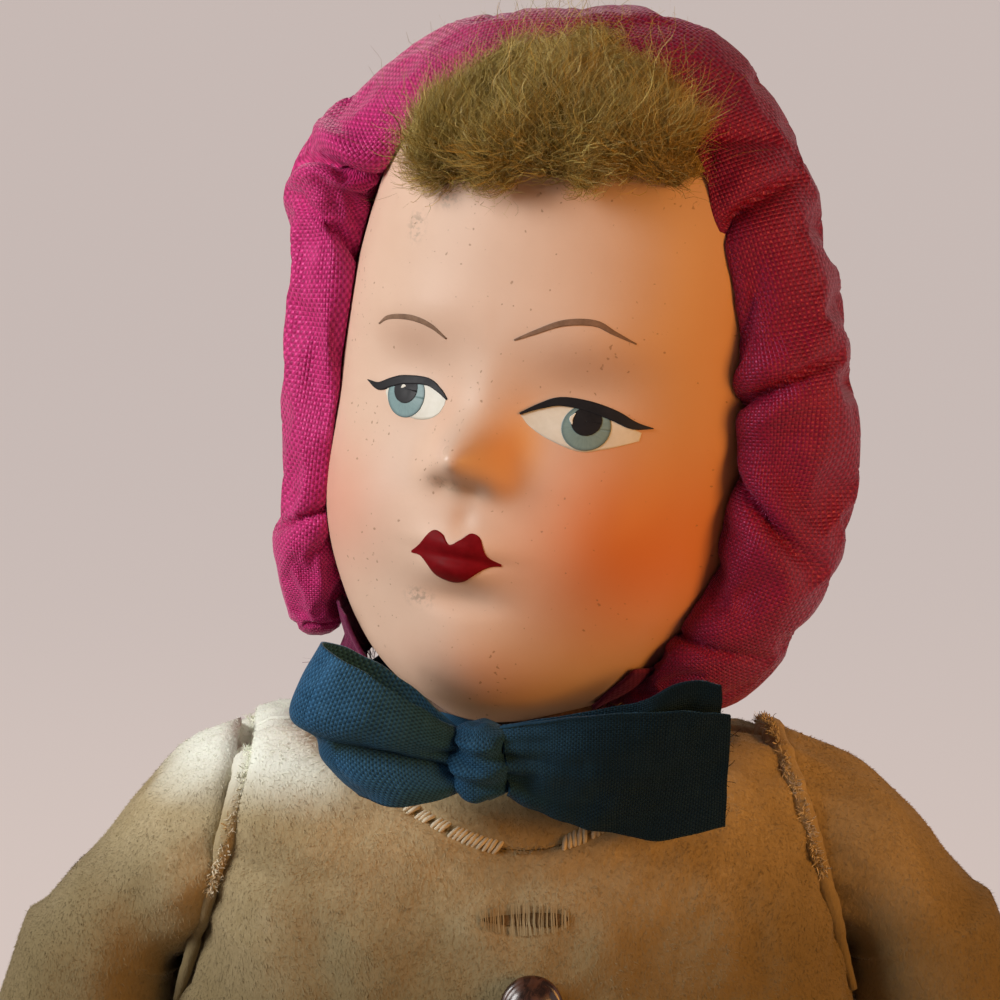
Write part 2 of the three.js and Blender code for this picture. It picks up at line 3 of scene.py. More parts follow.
import bpy
import numpy as np
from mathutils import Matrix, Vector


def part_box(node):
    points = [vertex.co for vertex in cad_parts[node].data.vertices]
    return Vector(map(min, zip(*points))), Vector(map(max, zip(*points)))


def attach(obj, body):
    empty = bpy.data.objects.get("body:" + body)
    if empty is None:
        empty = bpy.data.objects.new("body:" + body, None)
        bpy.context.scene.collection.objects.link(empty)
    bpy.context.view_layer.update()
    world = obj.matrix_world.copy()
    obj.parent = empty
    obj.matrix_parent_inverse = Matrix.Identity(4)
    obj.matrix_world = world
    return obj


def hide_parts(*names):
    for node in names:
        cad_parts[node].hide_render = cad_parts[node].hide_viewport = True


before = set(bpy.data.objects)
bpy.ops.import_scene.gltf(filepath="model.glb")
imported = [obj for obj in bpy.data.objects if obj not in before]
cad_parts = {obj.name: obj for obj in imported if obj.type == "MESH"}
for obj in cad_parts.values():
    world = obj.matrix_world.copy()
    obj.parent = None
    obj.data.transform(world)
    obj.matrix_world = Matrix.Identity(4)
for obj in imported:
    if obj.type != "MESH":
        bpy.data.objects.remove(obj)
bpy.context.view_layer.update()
mm = 0.001
backWay = np.array([0, 1.0, 0])
print("frame loaded")


# Shared maths

def smoothStep(low, high, x):
    t = np.clip((np.asarray(x, float) - low) / (high - low), 0, 1)
    return t * t * (3 - 2 * t)


def bell(x, middle, spread):
    return np.exp(-(((x - middle) / spread) ** 2))


def rounded(value, power):
    # a sine or cosine made squarer than a circle where the power is above two
    return np.sign(value) * np.abs(value) ** (2 / power)


def through(rows, t):
    # smooth curve through rows, Catmull-Rom on the row number, t from 0 to 1
    rows = np.asarray(rows, float)
    rows = np.vstack([2 * rows[0] - rows[1], rows, 2 * rows[-1] - rows[-2]])
    s = np.clip(np.asarray(t, float), 0, 1) * (len(rows) - 3)
    k = np.minimum(s.astype(int), len(rows) - 4)
    f = (s - k)[..., None]
    a, b, c, d = rows[k], rows[k + 1], rows[k + 2], rows[k + 3]
    square, cube = 2 * a - 5 * b + 4 * c - d, 3 * b - a - 3 * c + d
    return 0.5 * (2 * b + (c - a) * f + square * f ** 2 + cube * f ** 3)


def lookUp(rows, x):
    # the same curve read at a value of its first column
    fine = through(rows, shares(600))
    return [np.interp(x, fine[:, 0], fine[:, k]) for k in range(1, fine.shape[1])]


def lumps(p, scale, seed, waves=7):
    # soft lumps: a sum of sine waves in seeded directions, about -1 to 1
    dice = np.random.default_rng(seed)
    total = np.zeros(p.shape[:-1])
    for _ in range(waves):
        way = dice.normal(size=3)
        way *= (0.6 + 0.8 * dice.random()) / (np.linalg.norm(way) * scale)
        total += np.sin(p @ way * 2 * pi + dice.random() * 2 * pi)
    return total / sqrt(waves * 1.2)


def shares(count):
    return np.linspace(0, 1, count)


def ringOf(count):
    # even angles once round
    return np.arange(count) * 2 * pi / count


def grid(rows, columns):
    return np.meshgrid(rows, columns, indexing="ij")


def sideOf(hand):
    return "left" if hand > 0 else "right"


def unit(v):
    return v / np.maximum(np.linalg.norm(v, axis=-1, keepdims=True), 1e-9)


def gridNormals(p, wrap=False):
    # surface normals of a grid from the differences along its two ways
    along = np.gradient(p, axis=0)
    if wrap:
        around = (np.roll(p, -1, 1) - np.roll(p, 1, 1)) / 2
    else:
        around = np.gradient(p, axis=1)
    return unit(np.cross(along, around))


# Mesh building

def newObject(name, data):
    thing = bpy.data.objects.new(name, data)
    bpy.context.scene.collection.objects.link(thing)
    return thing


def makeMesh(name, points, faces, uv=None, material=None):
    # points in millimetres, faces a list of index arrays (each of one corner count), uv one pair per corner
    mesh = bpy.data.meshes.new(name)
    mesh.vertices.add(len(points))
    mesh.vertices.foreach_set("co", (np.asarray(points, float) * mm).astype(np.float32).ravel())
    loops = np.concatenate([f.ravel() for f in faces]).astype(np.int32)
    sizes = np.concatenate([np.full(len(f), f.shape[1]) for f in faces])
    starts = np.concatenate([[0], np.cumsum(sizes)[:-1]]).astype(np.int32)
    mesh.loops.add(len(loops))
    mesh.loops.foreach_set("vertex_index", loops)
    mesh.polygons.add(len(sizes))
    mesh.polygons.foreach_set("loop_start", starts)
    mesh.update(calc_edges=True)
    mesh.polygons.foreach_set("use_smooth", np.ones(len(sizes), bool))
    if uv is not None:
        layer = mesh.uv_layers.new(name="cloth")
        layer.data.foreach_set("uv", np.asarray(uv, np.float32).ravel())
    if material is not None:
        mesh.materials.append(material)
    return newObject(name, mesh)


def signedVolume(points, faces):
    # six times the volume that the faces enclose, below zero where they face inwards
    total = 0.0
    for f in faces:
        a = points[f[:, 0]]
        for k in range(1, f.shape[1] - 1):
            total += np.einsum("ij,ij->i", a, np.cross(points[f[:, k]], points[f[:, k + 1]])).sum()
    return total


def quadsOf(rows, columns, wrap=False, loop=False):
    # corner numbers of a grid's quads, and the row and column that each starts from
    i, j = grid(np.arange(rows if loop else rows - 1), np.arange(columns if wrap else columns - 1))
    right, above = (j + 1) % columns, (i + 1) % rows
    quads = np.stack([i * columns + j, i * columns + right, above * columns + right, above * columns + j], -1)
    return quads.reshape(-1, 4), i, j


def gridPiece(name, p, uv=None, material=None, wrap=False, cap=False, loop=False, flip=None):
    # p is rows x columns x 3; wrap joins the last column to the first, loop the last row to the first,
    # and cap closes the first and last row with a pole
    rows, columns = p.shape[:2]
    quads, i, j = quadsOf(rows, columns, wrap, loop)
    faces = [quads]
    points = p.reshape(-1, 3)
    corners = []
    if uv is not None:
        wide = j + 1
        corners = [np.stack([uv[i, j], uv[i, wide], uv[i + 1, wide], uv[i + 1, j]], 2).reshape(-1, 2)]
    if cap:
        ring = np.arange(columns)
        nextOne = (ring + 1) % columns
        last = (rows - 1) * columns
        points = np.vstack([points, p[0].mean(0), p[-1].mean(0)])
        low = np.stack([nextOne, ring, np.full(columns, len(points) - 2)], -1)
        high = np.stack([last + ring, last + nextOne, np.full(columns, len(points) - 1)], -1)
        faces.append(np.vstack([low, high]))
        if uv is not None:
            first, end = uv[0, :columns], uv[-1, :columns]
            lowUv = np.stack([uv[0, 1:columns + 1], first, first], 1)
            highUv = np.stack([end, uv[-1, 1:columns + 1], end], 1)
            corners.append(np.concatenate([lowUv, highUv]).reshape(-1, 2))
    if flip is None:
        flip = (cap or loop) and signedVolume(points, faces) < 0
    if flip:
        faces = [f[:, ::-1] for f in faces]
        if uv is not None:
            sizes = [f.shape[1] for f in faces]
            corners = [c.reshape(-1, n, 2)[:, ::-1].reshape(-1, 2) for c, n in zip(corners, sizes)]
    return makeMesh(name, points, faces, np.vstack(corners) if uv is not None else None, material)


def wrapUv(rows, columns, height, width):
    # cloth coordinates in millimetres for a wrapped grid, one extra column for the seam
    v, u = grid(np.linspace(0, height, rows), np.linspace(0, width, columns + 1))
    return np.stack([u, v], -1)


def fibres(name, paths, width, material, taper=0.35, seed=1, lie=None):
    # thin flat hairs: paths is strands x points x 3, each a strip of quads twisted by a seeded side way,
    # or lying flat on a surface whose normals are given
    dice = np.random.default_rng(seed)
    count, steps = paths.shape[:2]
    along = unit(np.gradient(paths, axis=1))
    side = unit(np.cross(along, unit(dice.normal(size=(count, 1, 3))) if lie is None else lie))
    shape = 1 - (1 - taper) * shares(steps)[None, :, None] ** 1.5
    half = np.reshape(width, (-1, 1, 1)) * 0.5 * shape
    points = np.stack([paths - side * half, paths + side * half], 2).reshape(-1, 3)
    strand, step = grid(np.arange(count), np.arange(steps - 1))
    base = (strand * steps + step) * 2
    quads = np.stack([base, base + 1, base + 3, base + 2], -1).reshape(-1, 4)
    tone = np.repeat(dice.random(count), steps * 2)
    uv = np.stack([tone, np.tile(np.repeat(shares(steps), 2), count)], -1)
    return makeMesh(name, points, [quads], uv[quads].reshape(-1, 2), material)


def tube(name, path, radius, material, sides=6, profile=None):
    # a round cord along a path, its frame carried along by the least turn
    path = np.asarray(path, float)
    along = unit(np.gradient(path, axis=0))
    first = unit(np.cross(along[0], [0.31, 0.77, 0.55]))
    sideWay = np.zeros_like(path)
    sideWay[0] = first
    for k in range(1, len(path)):
        sideWay[k] = unit(sideWay[k - 1] - along[k] * (sideWay[k - 1] @ along[k]))
    other = np.cross(along, sideWay)
    angle = np.linspace(0, 2 * pi, sides, endpoint=False)
    size = np.full(len(path), radius) if profile is None else radius * np.asarray(profile)
    ring = np.cos(angle)[None, :, None] * sideWay[:, None] + np.sin(angle)[None, :, None] * other[:, None]
    return gridPiece(name, path[:, None] + ring * size[:, None, None], None, material, wrap=True, cap=True)


def joined(name, things):
    # several pieces of one finish as one object
    for other in bpy.context.selected_objects:
        other.select_set(False)
    for thing in things:
        thing.select_set(True)
    bpy.context.view_layer.objects.active = things[0]
    bpy.ops.object.join()
    things[0].name = name
    things[0].data.name = name
    return things[0]


def place(piece, body, slot, *nodes):
    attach(piece, body)
    if nodes:
        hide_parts(*nodes)
    return piece


# Node helpers

def feed(socket, value):
    # a link where the value is another node's socket, else a set value
    if isinstance(value, bpy.types.NodeSocket):
        socket.id_data.links.new(value, socket)
    else:
        socket.default_value = value


def treeOf(values):
    return next(value.id_data for value in values if isinstance(value, bpy.types.NodeSocket))


def nodeIn(tree, kind, values, **settings):
    # a new node with its settings, its inputs fed by number or label
    made = tree.nodes.new("ShaderNode" + kind)
    for label, value in settings.items():
        setattr(made, label, value)
    for label, value in values.items():
        feed(made.inputs[label], value)
    return made.outputs


def calc(operation, *terms, clamp=False):
    return nodeIn(treeOf(terms), "Math", dict(enumerate(terms)), operation=operation, use_clamp=clamp)[0]


def plus(a, b, clamp=False):
    return calc("ADD", a, b, clamp=clamp)


def minus(a, b):
    return calc("SUBTRACT", a, b)


def times(a, b):
    return calc("MULTIPLY", a, b)


def over(a, b):
    return calc("DIVIDE", a, b)


def scaled(vector, factors):
    return nodeIn(vector.id_data, "VectorMath", {0: vector, 1: factors}, operation="MULTIPLY")[0]


def noise(vector, scale, detail=2.0, roughness=0.55, distortion=0.0):
    values = {"Vector": vector, "Scale": scale, "Detail": detail, "Roughness": roughness,
              "Distortion": distortion}
    return nodeIn(vector.id_data, "TexNoise", values)[0]


def ramp(value, low, high, toLow=0.0, toHigh=1.0):
    terms = dict(enumerate((value, low, high, toLow, toHigh)))
    return nodeIn(value.id_data, "MapRange", terms, interpolation_type="SMOOTHSTEP")[0]


def mixed(mask, low, high, blend="MIX"):
    # the Mix node keeps its colours at inputs 6 and 7 and its colour result at output 2
    low, high = (c if isinstance(c, bpy.types.NodeSocket) else (*c, 1) for c in (low, high))
    return nodeIn(mask.id_data, "Mix", {0: mask, 6: low, 7: high}, data_type="RGBA", blend_type=blend)[2]


def split(vector):
    return nodeIn(vector.id_data, "SeparateXYZ", {0: vector})


def joinXyz(x, y, z=0.0):
    return nodeIn(x.id_data, "CombineXYZ", {0: x, 1: y, 2: z})[0]


def newGroup(name, inputs, outputs):
    group = bpy.data.node_groups.new(name, "ShaderNodeTree")
    for label, kind, value in inputs:
        socket = group.interface.new_socket(name=label, in_out="INPUT", socket_type="NodeSocket" + kind)
        if value is not None:
            socket.default_value = value
    for label in outputs:
        group.interface.new_socket(name=label, in_out="OUTPUT", socket_type="NodeSocketFloat")
    return group, group.nodes.new("NodeGroupInput").outputs, group.nodes.new("NodeGroupOutput").inputs


def useGroup(group, **values):
    return nodeIn(treeOf(values.values()), "Group", values, node_tree=group)


# Camera, floor and light

view = {"azimuth": -4.0, "elevation": 10.0, "distance": 385.0, "frameWidth": 158.0,
        "target": (-1.9, 0.0, 175.0)}


def makeCamera():
    lens = bpy.data.cameras.new("camera")
    lens.sensor_width = 36
    lens.lens = 36 * view["distance"] / view["frameWidth"]
    lens.clip_start = 0.01
    camera = newObject("camera", lens)
    azimuth, elevation = radians(view["azimuth"]), radians(view["elevation"])
    back = np.array([sin(azimuth) * cos(elevation), -cos(azimuth) * cos(elevation),
                     sin(elevation)])
    camera.location = (np.array(view["target"]) + back * view["distance"]) * mm
    camera.rotation_euler = (pi / 2 - elevation, 0, azimuth)
    bpy.context.scene.camera = camera


stage = {
    "paper": (0.4, 0.33, 0.28, 1), "paperRoughness": 0.9, "glow": (1.08, 0.93, 0.885, 1), "glowShare": 0.5,
    "flat": 1600, "bend": 700, "wall": 1500, "sides": 72, "roomColour": (1.0, 0.9, 0.82, 1),
    "roomStrength": 0.11,
}


def makeStage():
    # pale paper that shows its own colour to the camera and to mirrors, and is lit by the lamps for all else
    paper = bpy.data.materials.new("backdropPaper")
    paper.use_nodes = True
    tree = paper.node_tree
    shader = tree.nodes["Principled BSDF"]
    feed(shader.inputs["Base Color"], stage["paper"])
    feed(shader.inputs["Roughness"], stage["paperRoughness"])
    glow = nodeIn(tree, "Emission", {"Color": stage["glow"]})
    rays = tree.nodes.new("ShaderNodeLightPath").outputs
    direct = calc("MAXIMUM", rays["Is Camera Ray"], rays["Is Glossy Ray"])
    seen = calc("MAXIMUM", direct, rays["Is Transmission Ray"])
    blend = nodeIn(tree, "MixShader", {0: times(seen, stage["glowShare"]), 1: shader.outputs[0], 2: glow[0]})
    feed(tree.nodes["Material Output"].inputs["Surface"], blend[0])
    # floor and backdrop in one bowl: flat out to its bend, then a quarter turn up, the same all round
    turn = np.linspace(0, pi / 2, 14)
    flat, bend = stage["flat"], stage["bend"]
    reach = np.concatenate([[1, flat / 4, flat / 2, flat * 3 / 4], flat + bend * np.sin(turn), [flat + bend]])
    rise = np.concatenate([[0, 0, 0, 0], bend - bend * np.cos(turn), [stage["wall"]]])
    around = np.linspace(0, 2 * pi, stage["sides"], endpoint=False)
    reach, rise = reach[:, None], rise[:, None]
    p = np.stack([reach * np.cos(around), reach * np.sin(around), rise + 0 * around], -1)
    sweep = gridPiece("floor", p, None, paper, wrap=True, flip=False)


lamps = {
    "windowKey": {"at": (-570, -215, 500), "size": 320, "power": 4.5, "colour": (1.0, 0.98, 0.96)},
    "warmFill": {"at": (460, -370, 240), "size": 260, "power": 2.0, "colour": (1.0, 0.43, 0.08)},
    "rim": {"at": (-60, 440, 460), "size": 260, "power": 0.3, "colour": (1.0, 0.9, 0.8)},
}


def makeLights():
    for name, lamp in lamps.items():
        light = bpy.data.lights.new(name, "AREA")
        light.size = lamp["size"] * mm
        light.energy = lamp["power"]
        light.color = lamp["colour"]
        thing = newObject(name, light)
        thing.location = np.array(lamp["at"]) * mm
        aim = np.array(view["target"]) - np.array(lamp["at"])
        flat = hypot(aim[0], aim[1])
        thing.rotation_euler = (pi / 2 + atan2(aim[2], flat), 0, atan2(-aim[0], aim[1]))
    world = bpy.data.worlds.new("room")
    world.use_nodes = True
    sky = world.node_tree.nodes["Background"].inputs
    sky["Color"].default_value, sky["Strength"].default_value = stage["roomColour"], stage["roomStrength"]
    bpy.context.scene.world = world
    bpy.context.scene.view_settings.view_transform = "Standard"


makeCamera()
makeStage()
makeLights()
print("camera, floor and light placed")


# Finishes

def weaveGroup():
    # plain weave: the product of two sines makes a bump for each crossing, its sign says which yarn is on top
    # and paints that yarn lighter as a painted glint, and two stretched noises make some yarns thicker than
    # others
    sockets = [("Cloth", "Vector", None), ("Pitch", "Float", 0.5), ("Slub", "Float", 0.5)]
    group, given, out = newGroup("yarnWeave", sockets, ["Height", "ToneAndGlint"])
    x, y, _ = split(given["Cloth"])
    across, along = (calc("SINE", times(over(way, given["Pitch"]), pi)) for way in (x, y))
    crossing = times(across, along)
    warp = noise(joinXyz(x, times(y, 0.05)), 2.2, 1.0)
    weft = noise(joinXyz(times(x, 0.05), y), 2.2, 1.0)
    slub = times(minus(plus(warp, weft), 1.0), given["Slub"])
    bump = calc("POWER", calc("ABSOLUTE", crossing), 0.6)
    feed(out["Height"], plus(times(bump, 0.8), slub))
    # painted glint: the yarn on top one way is made lighter
    tone = calc("MULTIPLY_ADD", crossing, 0.36, 0.5)
    feed(out["ToneAndGlint"], plus(tone, times(slub, 0.9), clamp=True))
    return group


def mottleGroup():
    # soft uneven dye or dirt: two noises of different size, pulled apart by Contrast
    group, given, out = newGroup("softMottle", [("Place", "Vector", None), ("Size", "Float", 20.0),
                                                ("Contrast", "Float", 1.6)], ["Mask"])
    broad = noise(given["Place"], over(1.0, given["Size"]), 3.0, 0.6)
    fine = noise(given["Place"], over(5.0, given["Size"]), 2.0, 0.5)
    both = plus(times(broad, 0.7), times(fine, 0.3))
    pulled = times(minus(both, 0.5), given["Contrast"])
    feed(out["Mask"], plus(pulled, 0.5, clamp=True))
    return group


def speckGroup():
    # small dark specks: only the highest tops of a fine noise, thinned by a broad one
    group, given, out = newGroup("dirtSpecks", [("Place", "Vector", None), ("Size", "Float", 0.8),
                                                ("Amount", "Float", 0.3)], ["Mask"])
    fine = noise(given["Place"], over(0.6, given["Size"]), 1.0, 0.5)
    broad = noise(given["Place"], over(0.05, given["Size"]), 1.0, 0.5)
    limit = minus(0.86, times(given["Amount"], times(broad, 0.5)))
    feed(out["Mask"], ramp(fine, limit, plus(limit, 0.06)))
    return group


yarnWeave, softMottle, dirtSpecks = weaveGroup(), mottleGroup(), speckGroup()


def newMaterial(name, roughness=0.6, specular=0.5, sheen=0.0, sheenTint=(1, 1, 1), coat=0.0, glint=(1, 1, 1)):
    material = bpy.data.materials.new(name)
    material.use_nodes = True
    tree = material.node_tree
    shader = tree.nodes["Principled BSDF"]
    for label, value in (("Roughness", roughness), ("Specular IOR Level", specular), ("Sheen Weight", sheen),
                         ("Sheen Roughness", 0.35), ("Sheen Tint", (*sheenTint, 1)), ("Coat Weight", coat),
                         ("Coat Roughness", 0.2), ("Specular Tint", (*glint, 1))):
        shader.inputs[label].default_value = value
    return material, tree, shader


def clothPlace(tree):
    return nodeIn(tree, "UVMap", {}, uv_map="cloth")[0]


def objectPlace(tree):
    # object coordinates in millimetres
    return scaled(tree.nodes.new("ShaderNodeTexCoord").outputs["Object"], (1 / mm,) * 3)


def addBump(shader, height, strength, distance):
    values = {"Strength": strength, "Distance": distance * mm, "Height": height}
    feed(shader.inputs["Normal"], nodeIn(shader.id_data, "Bump", values)[0])


def wovenMaterial(name, dark, light, worn, pitch, roughness, sheen, sheenTint, bump, slub=0.5, specular=0.3,
                  paintedShadeTint=None):
    # woven cloth on its own cloth coordinates: yarn tone with its painted glint, uneven dye, worn paler
    # patches, and painted shade darkening the doll's left side, away from the key light
    material, tree, shader = newMaterial(name, roughness, specular, sheen, sheenTint, glint=sheenTint)
    cloth = clothPlace(tree)
    weave = useGroup(yarnWeave, Cloth=cloth, Pitch=pitch, Slub=slub)
    dye = useGroup(softMottle, Place=objectPlace(tree), Size=16.0, Contrast=1.8)["Mask"]
    # yarn tone, the lighter yarn tops a painted glint
    colour = mixed(weave["ToneAndGlint"], dark, light)
    colour = mixed(ramp(dye, 0.52, 0.95, 0.0, 0.55), colour, worn)
    # painted shade: the doll's left side darkened, its edge wavered by the dye mottle
    if paintedShadeTint:
        x, _, _ = split(objectPlace(tree))
        across = plus(x, times(minus(dye, 0.5), 16.0))
        colour = mixed(ramp(across, -22.0, 16.0), colour, paintedShadeTint, "MULTIPLY")
    feed(shader.inputs["Base Color"], colour)
    feed(shader.inputs["Roughness"], ramp(weave["ToneAndGlint"], 0.0, 1.0, roughness + 0.12, roughness - 0.08))
    addBump(shader, weave["Height"], bump, 0.12)
    return material


def crushedPileHighlight(place):
    # painted highlight: short wavy ripples where the pile is pressed flat and catches the light
    ripple = noise(scaled(place, (0.42, 0.42, 0.8)), 1.0, 3.0, 0.6, 1.6)
    broad = noise(place, 0.05, 2.0)
    return times(ramp(ripple, 0.5, 0.68, 0.0, 0.75), ramp(broad, 0.4, 0.62, 0.15, 1.0))


def paintedLightAndShade(place, colour, dark, shadeDepth):
    # painted light and shade on the plush: painted shade darkening the belly and the arms towards the bottom,
    # fading out again at the seat, and a painted highlight pale on the doll's right shoulder where the key
    # light falls
    x, _, z = split(place)
    drift = times(minus(noise(place, 0.035, 2.0), 0.5), 26.0)
    height = plus(z, drift)
    # painted shade: darker from the chest down, standing in for the light falling off
    lowerBodyShade = times(ramp(height, 134.0, 104.0), ramp(height, 40.0, 70.0, 0.0, shadeDepth))
    colour = mixed(lowerBodyShade, colour, dark)
    top = plus(z, times(drift, 0.35))
    # painted highlight: pale on the doll's right shoulder, where the key light falls
    wearAndPaintedLight = times(ramp(top, 129.0, 138.0), ramp(x, -22.0, -36.0))
    return mixed(wearAndPaintedLight, colour, (0.94, 0.97, 0.86))


def wornPlushAndHighlight(place, middle, pale):
    # the plush's colour: a broad worn mottle, with a painted highlight paler again where the pile is crushed
    worn = useGroup(softMottle, Place=place, Size=26.0, Contrast=2.2)["Mask"]
    return worn, mixed(crushedPileHighlight(place), mixed(worn, middle, pale), pale)


def pileMaterial(name, dark, middle, pale, shadeDepth=0.82):
    # short pile: each blade's own tone, painted shade darkening it at the root, over the worn plush with its
    # painted highlight
    material, tree, shader = newMaterial(name, 0.85, 0.25, 0.25, (1.0, 0.93, 0.8))
    place = objectPlace(tree)
    tone, along, _ = split(clothPlace(tree))
    worn, colour = wornPlushAndHighlight(place, middle, pale)
    colour = mixed(ramp(tone, 0.0, 1.0, 0.2, 0.0), colour, dark)
    # painted shade at the blade's root
    colour = mixed(ramp(along, 0.0, 0.7, 0.1, 0.0), colour, dark)
    # painted shade towards the bottom and a painted highlight on the doll's right shoulder
    colour = paintedLightAndShade(place, colour, dark, shadeDepth)
    feed(shader.inputs["Base Color"], colour)
    feed(shader.inputs["Roughness"], ramp(worn, 0.0, 1.0, 0.92, 0.74))
    return material


def plushMaterial(name, dark, middle, pale, shadeDepth=0.82):
    # backing cloth under the pile: the worn plush streaked along the nap, with specks and a fine fibrous
    # bump, and the same painted shade and painted highlight as the pile
    material, tree, shader = newMaterial(name, 0.9, 0.2, 0.3, (1.0, 0.93, 0.8))
    place = objectPlace(tree)
    _, colour = wornPlushAndHighlight(place, middle, pale)
    streak = noise(scaled(place, (1.5, 1.5, 0.9)), 1.0, 3.0, 0.6, 0.4)
    dirt = useGroup(dirtSpecks, Place=place, Size=1.2, Amount=0.35)["Mask"]
    colour = mixed(ramp(streak, 0.35, 0.7, 0.22, 0.0), colour, dark)
    # painted shade towards the bottom and a painted highlight on the doll's right shoulder
    colour = paintedLightAndShade(place, colour, dark, shadeDepth)
    colour = mixed(times(dirt, 0.5), colour, (0.16, 0.1, 0.05))
    feed(shader.inputs["Base Color"], colour)
    addBump(shader, streak, 0.6, 0.35)
    return material


def paintMaterial(name, dark, light, roughness, size, coat=0.0, specular=0.35):
    # brushed paint: streaks of one colour into another, slightly uneven gloss
    material, tree, shader = newMaterial(name, roughness, specular, coat=coat)
    place = objectPlace(tree)
    mask = useGroup(softMottle, Place=place, Size=size, Contrast=2.4)["Mask"]
    feed(shader.inputs["Base Color"], mixed(mask, dark, light))
    feed(shader.inputs["Roughness"], ramp(mask, 0.0, 1.0, roughness - 0.06, roughness + 0.1))
    addBump(shader, mask, 0.15, 0.08)
    return material


plushTones = {"dark": (0.165, 0.125, 0.056), "middle": (0.4, 0.31, 0.16), "pale": (0.57, 0.47, 0.29)}
plushBacking = plushMaterial("plushBacking", **plushTones)
plushPile = pileMaterial("plushPile", **plushTones)
# seam pile: the plush's pile painted much paler, a painted highlight where the seam ridges catch the light,
# with no painted shade
seamPileHighlight = pileMaterial("seamPileHighlight", (0.5, 0.42, 0.27), (0.7, 0.62, 0.45), (0.82, 0.76, 0.6), 0.0)
# the last colour given to the hood satin and to the navy ribbon is the painted shade for the doll's left side
hoodSatin = wovenMaterial("hoodSatin", (0.2, 0.003, 0.04), (0.88, 0.045, 0.28), (0.88, 0.09, 0.34), 0.6,
                          0.4, 0.3, (1.0, 0.34, 0.7), 1.3, 0.5, 0.6, (0.38, 0.16, 0.14))
hemSatin = wovenMaterial("hemSatin", (0.08, 0.01, 0.035), (0.2, 0.025, 0.085), (0.26, 0.05, 0.12), 0.46,
                         0.7, 0.2, (0.8, 0.4, 0.6), 0.5)
navyRibbon = wovenMaterial("navyRibbon", (0.008, 0.026, 0.055), (0.048, 0.168, 0.33), (0.064, 0.195, 0.37),
                           0.42, 0.42, 0.12, (0.36, 0.72, 1.0), 1.2, 0.45, 0.1, (0.14, 0.12, 0.1))
plainMuslin = wovenMaterial("plainMuslin", (0.5, 0.4, 0.26), (0.66, 0.55, 0.4), (0.7, 0.6, 0.46), 0.6, 0.85,
                            0.1, (1.0, 0.95, 0.85), 0.5)
# muslin coloured dark as painted shade, for the neck in the shadow under the head
muslinPaintedShade = wovenMaterial("muslinPaintedShade", (0.2, 0.12, 0.09), (0.3, 0.2, 0.15), (0.36, 0.26, 0.19), 0.6,
                             0.85, 0.1, (1.0, 0.95, 0.85), 0.5)
solesFelt = plushMaterial("solesFelt", (0.26, 0.17, 0.09), (0.4, 0.28, 0.16), (0.48, 0.35, 0.21))
print("finishes mixed")


# Shells and pile

def shellPiece(name, outer, inner, material, uv=None):
    # a panel with thickness: the outer grid, the inner grid turned round, and a rim that joins their edges
    rows, columns = outer.shape[:2]
    count = rows * columns
    quads, _, _ = quadsOf(rows, columns)
    index = np.arange(count).reshape(rows, columns)
    edge = np.concatenate([index[0, :-1], index[:-1, -1], index[-1, :0:-1], index[:0:-1, 0]])
    after = np.roll(edge, -1)
    rim = np.stack([after, edge, edge + count, after + count], -1)
    faces = np.vstack([quads, quads[:, ::-1] + count, rim])
    points = np.vstack([outer.reshape(-1, 3), inner.reshape(-1, 3)])
    if signedVolume(points, [faces]) < 0:
        faces = faces[:, ::-1]
    corners = None
    if uv is not None:
        corners = np.vstack([uv.reshape(-1, 2)] * 2)[faces].reshape(-1, 2)
    return makeMesh(name, points, [faces], corners, material)


def outwardNormals(p, centre, wrap=False):
    n = gridNormals(p, wrap)
    return n if np.sum(n * (p - centre)) > 0 else -n


def triangles(thing):
    mesh = thing.data
    mesh.calc_loop_triangles()
    points = np.empty(len(mesh.vertices) * 3, np.float32)
    mesh.vertices.foreach_get("co", points)
    corners = np.empty(len(mesh.loop_triangles) * 3, np.int32)
    mesh.loop_triangles.foreach_get("vertices", corners)
    return points.reshape(-1, 3).astype(float) / mm, corners.reshape(-1, 3)


pile = {"density": 4.6, "length": 0.8, "width": 0.2, "stand": 0.3, "scatter": 0.45, "sunk": 0.15}


def pileOn(name, source, comb, keep, seed, share=1.0):
    # blades of pile: seeded points spread over the source by area, each blade a triangle that leans along
    # the nap
    dice = np.random.default_rng(seed)
    points, corners = triangles(source)
    a, b, c = points[corners[:, 0]], points[corners[:, 1]], points[corners[:, 2]]
    cross = np.cross(b - a, c - a)
    weight = np.linalg.norm(cross, axis=1) / 2 * keep((a + b + c) / 3, unit(cross))
    count = int(weight.sum() * (pile["density"] * share))
    pick = dice.choice(len(corners), count, p=weight / weight.sum())
    first, second = np.sqrt(dice.random((2, count)))[0][:, None], dice.random((count, 1))
    root = a[pick] * (1 - first) + b[pick] * first * (1 - second) + c[pick] * first * second
    normal = unit(cross)[pick]
    nap = comb(root) + pile["scatter"] * dice.normal(size=(count, 3))
    nap = unit(nap - normal * np.sum(nap * normal, 1, keepdims=True))
    size = pile["length"] * (0.6 + 0.8 * dice.random((count, 1)))
    tip = root + size * (normal * pile["stand"] * (0.7 + 0.6 * dice.random((count, 1))) + nap * 0.85)
    side = unit(np.cross(normal, nap)) * pile["width"] * (0.7 + 0.6 * dice.random((count, 1))) / 2
    root = root - normal * pile["sunk"]
    blades = np.stack([root - side, root + side, tip], 1).reshape(-1, 3)
    tone = np.repeat(dice.random(count), 3)
    uv = np.stack([tone, np.tile([0.0, 0.0, 1.0], count)], -1)
    return makeMesh(name, blades, [np.arange(count * 3).reshape(-1, 3)], uv, plushPile)


# Plush body

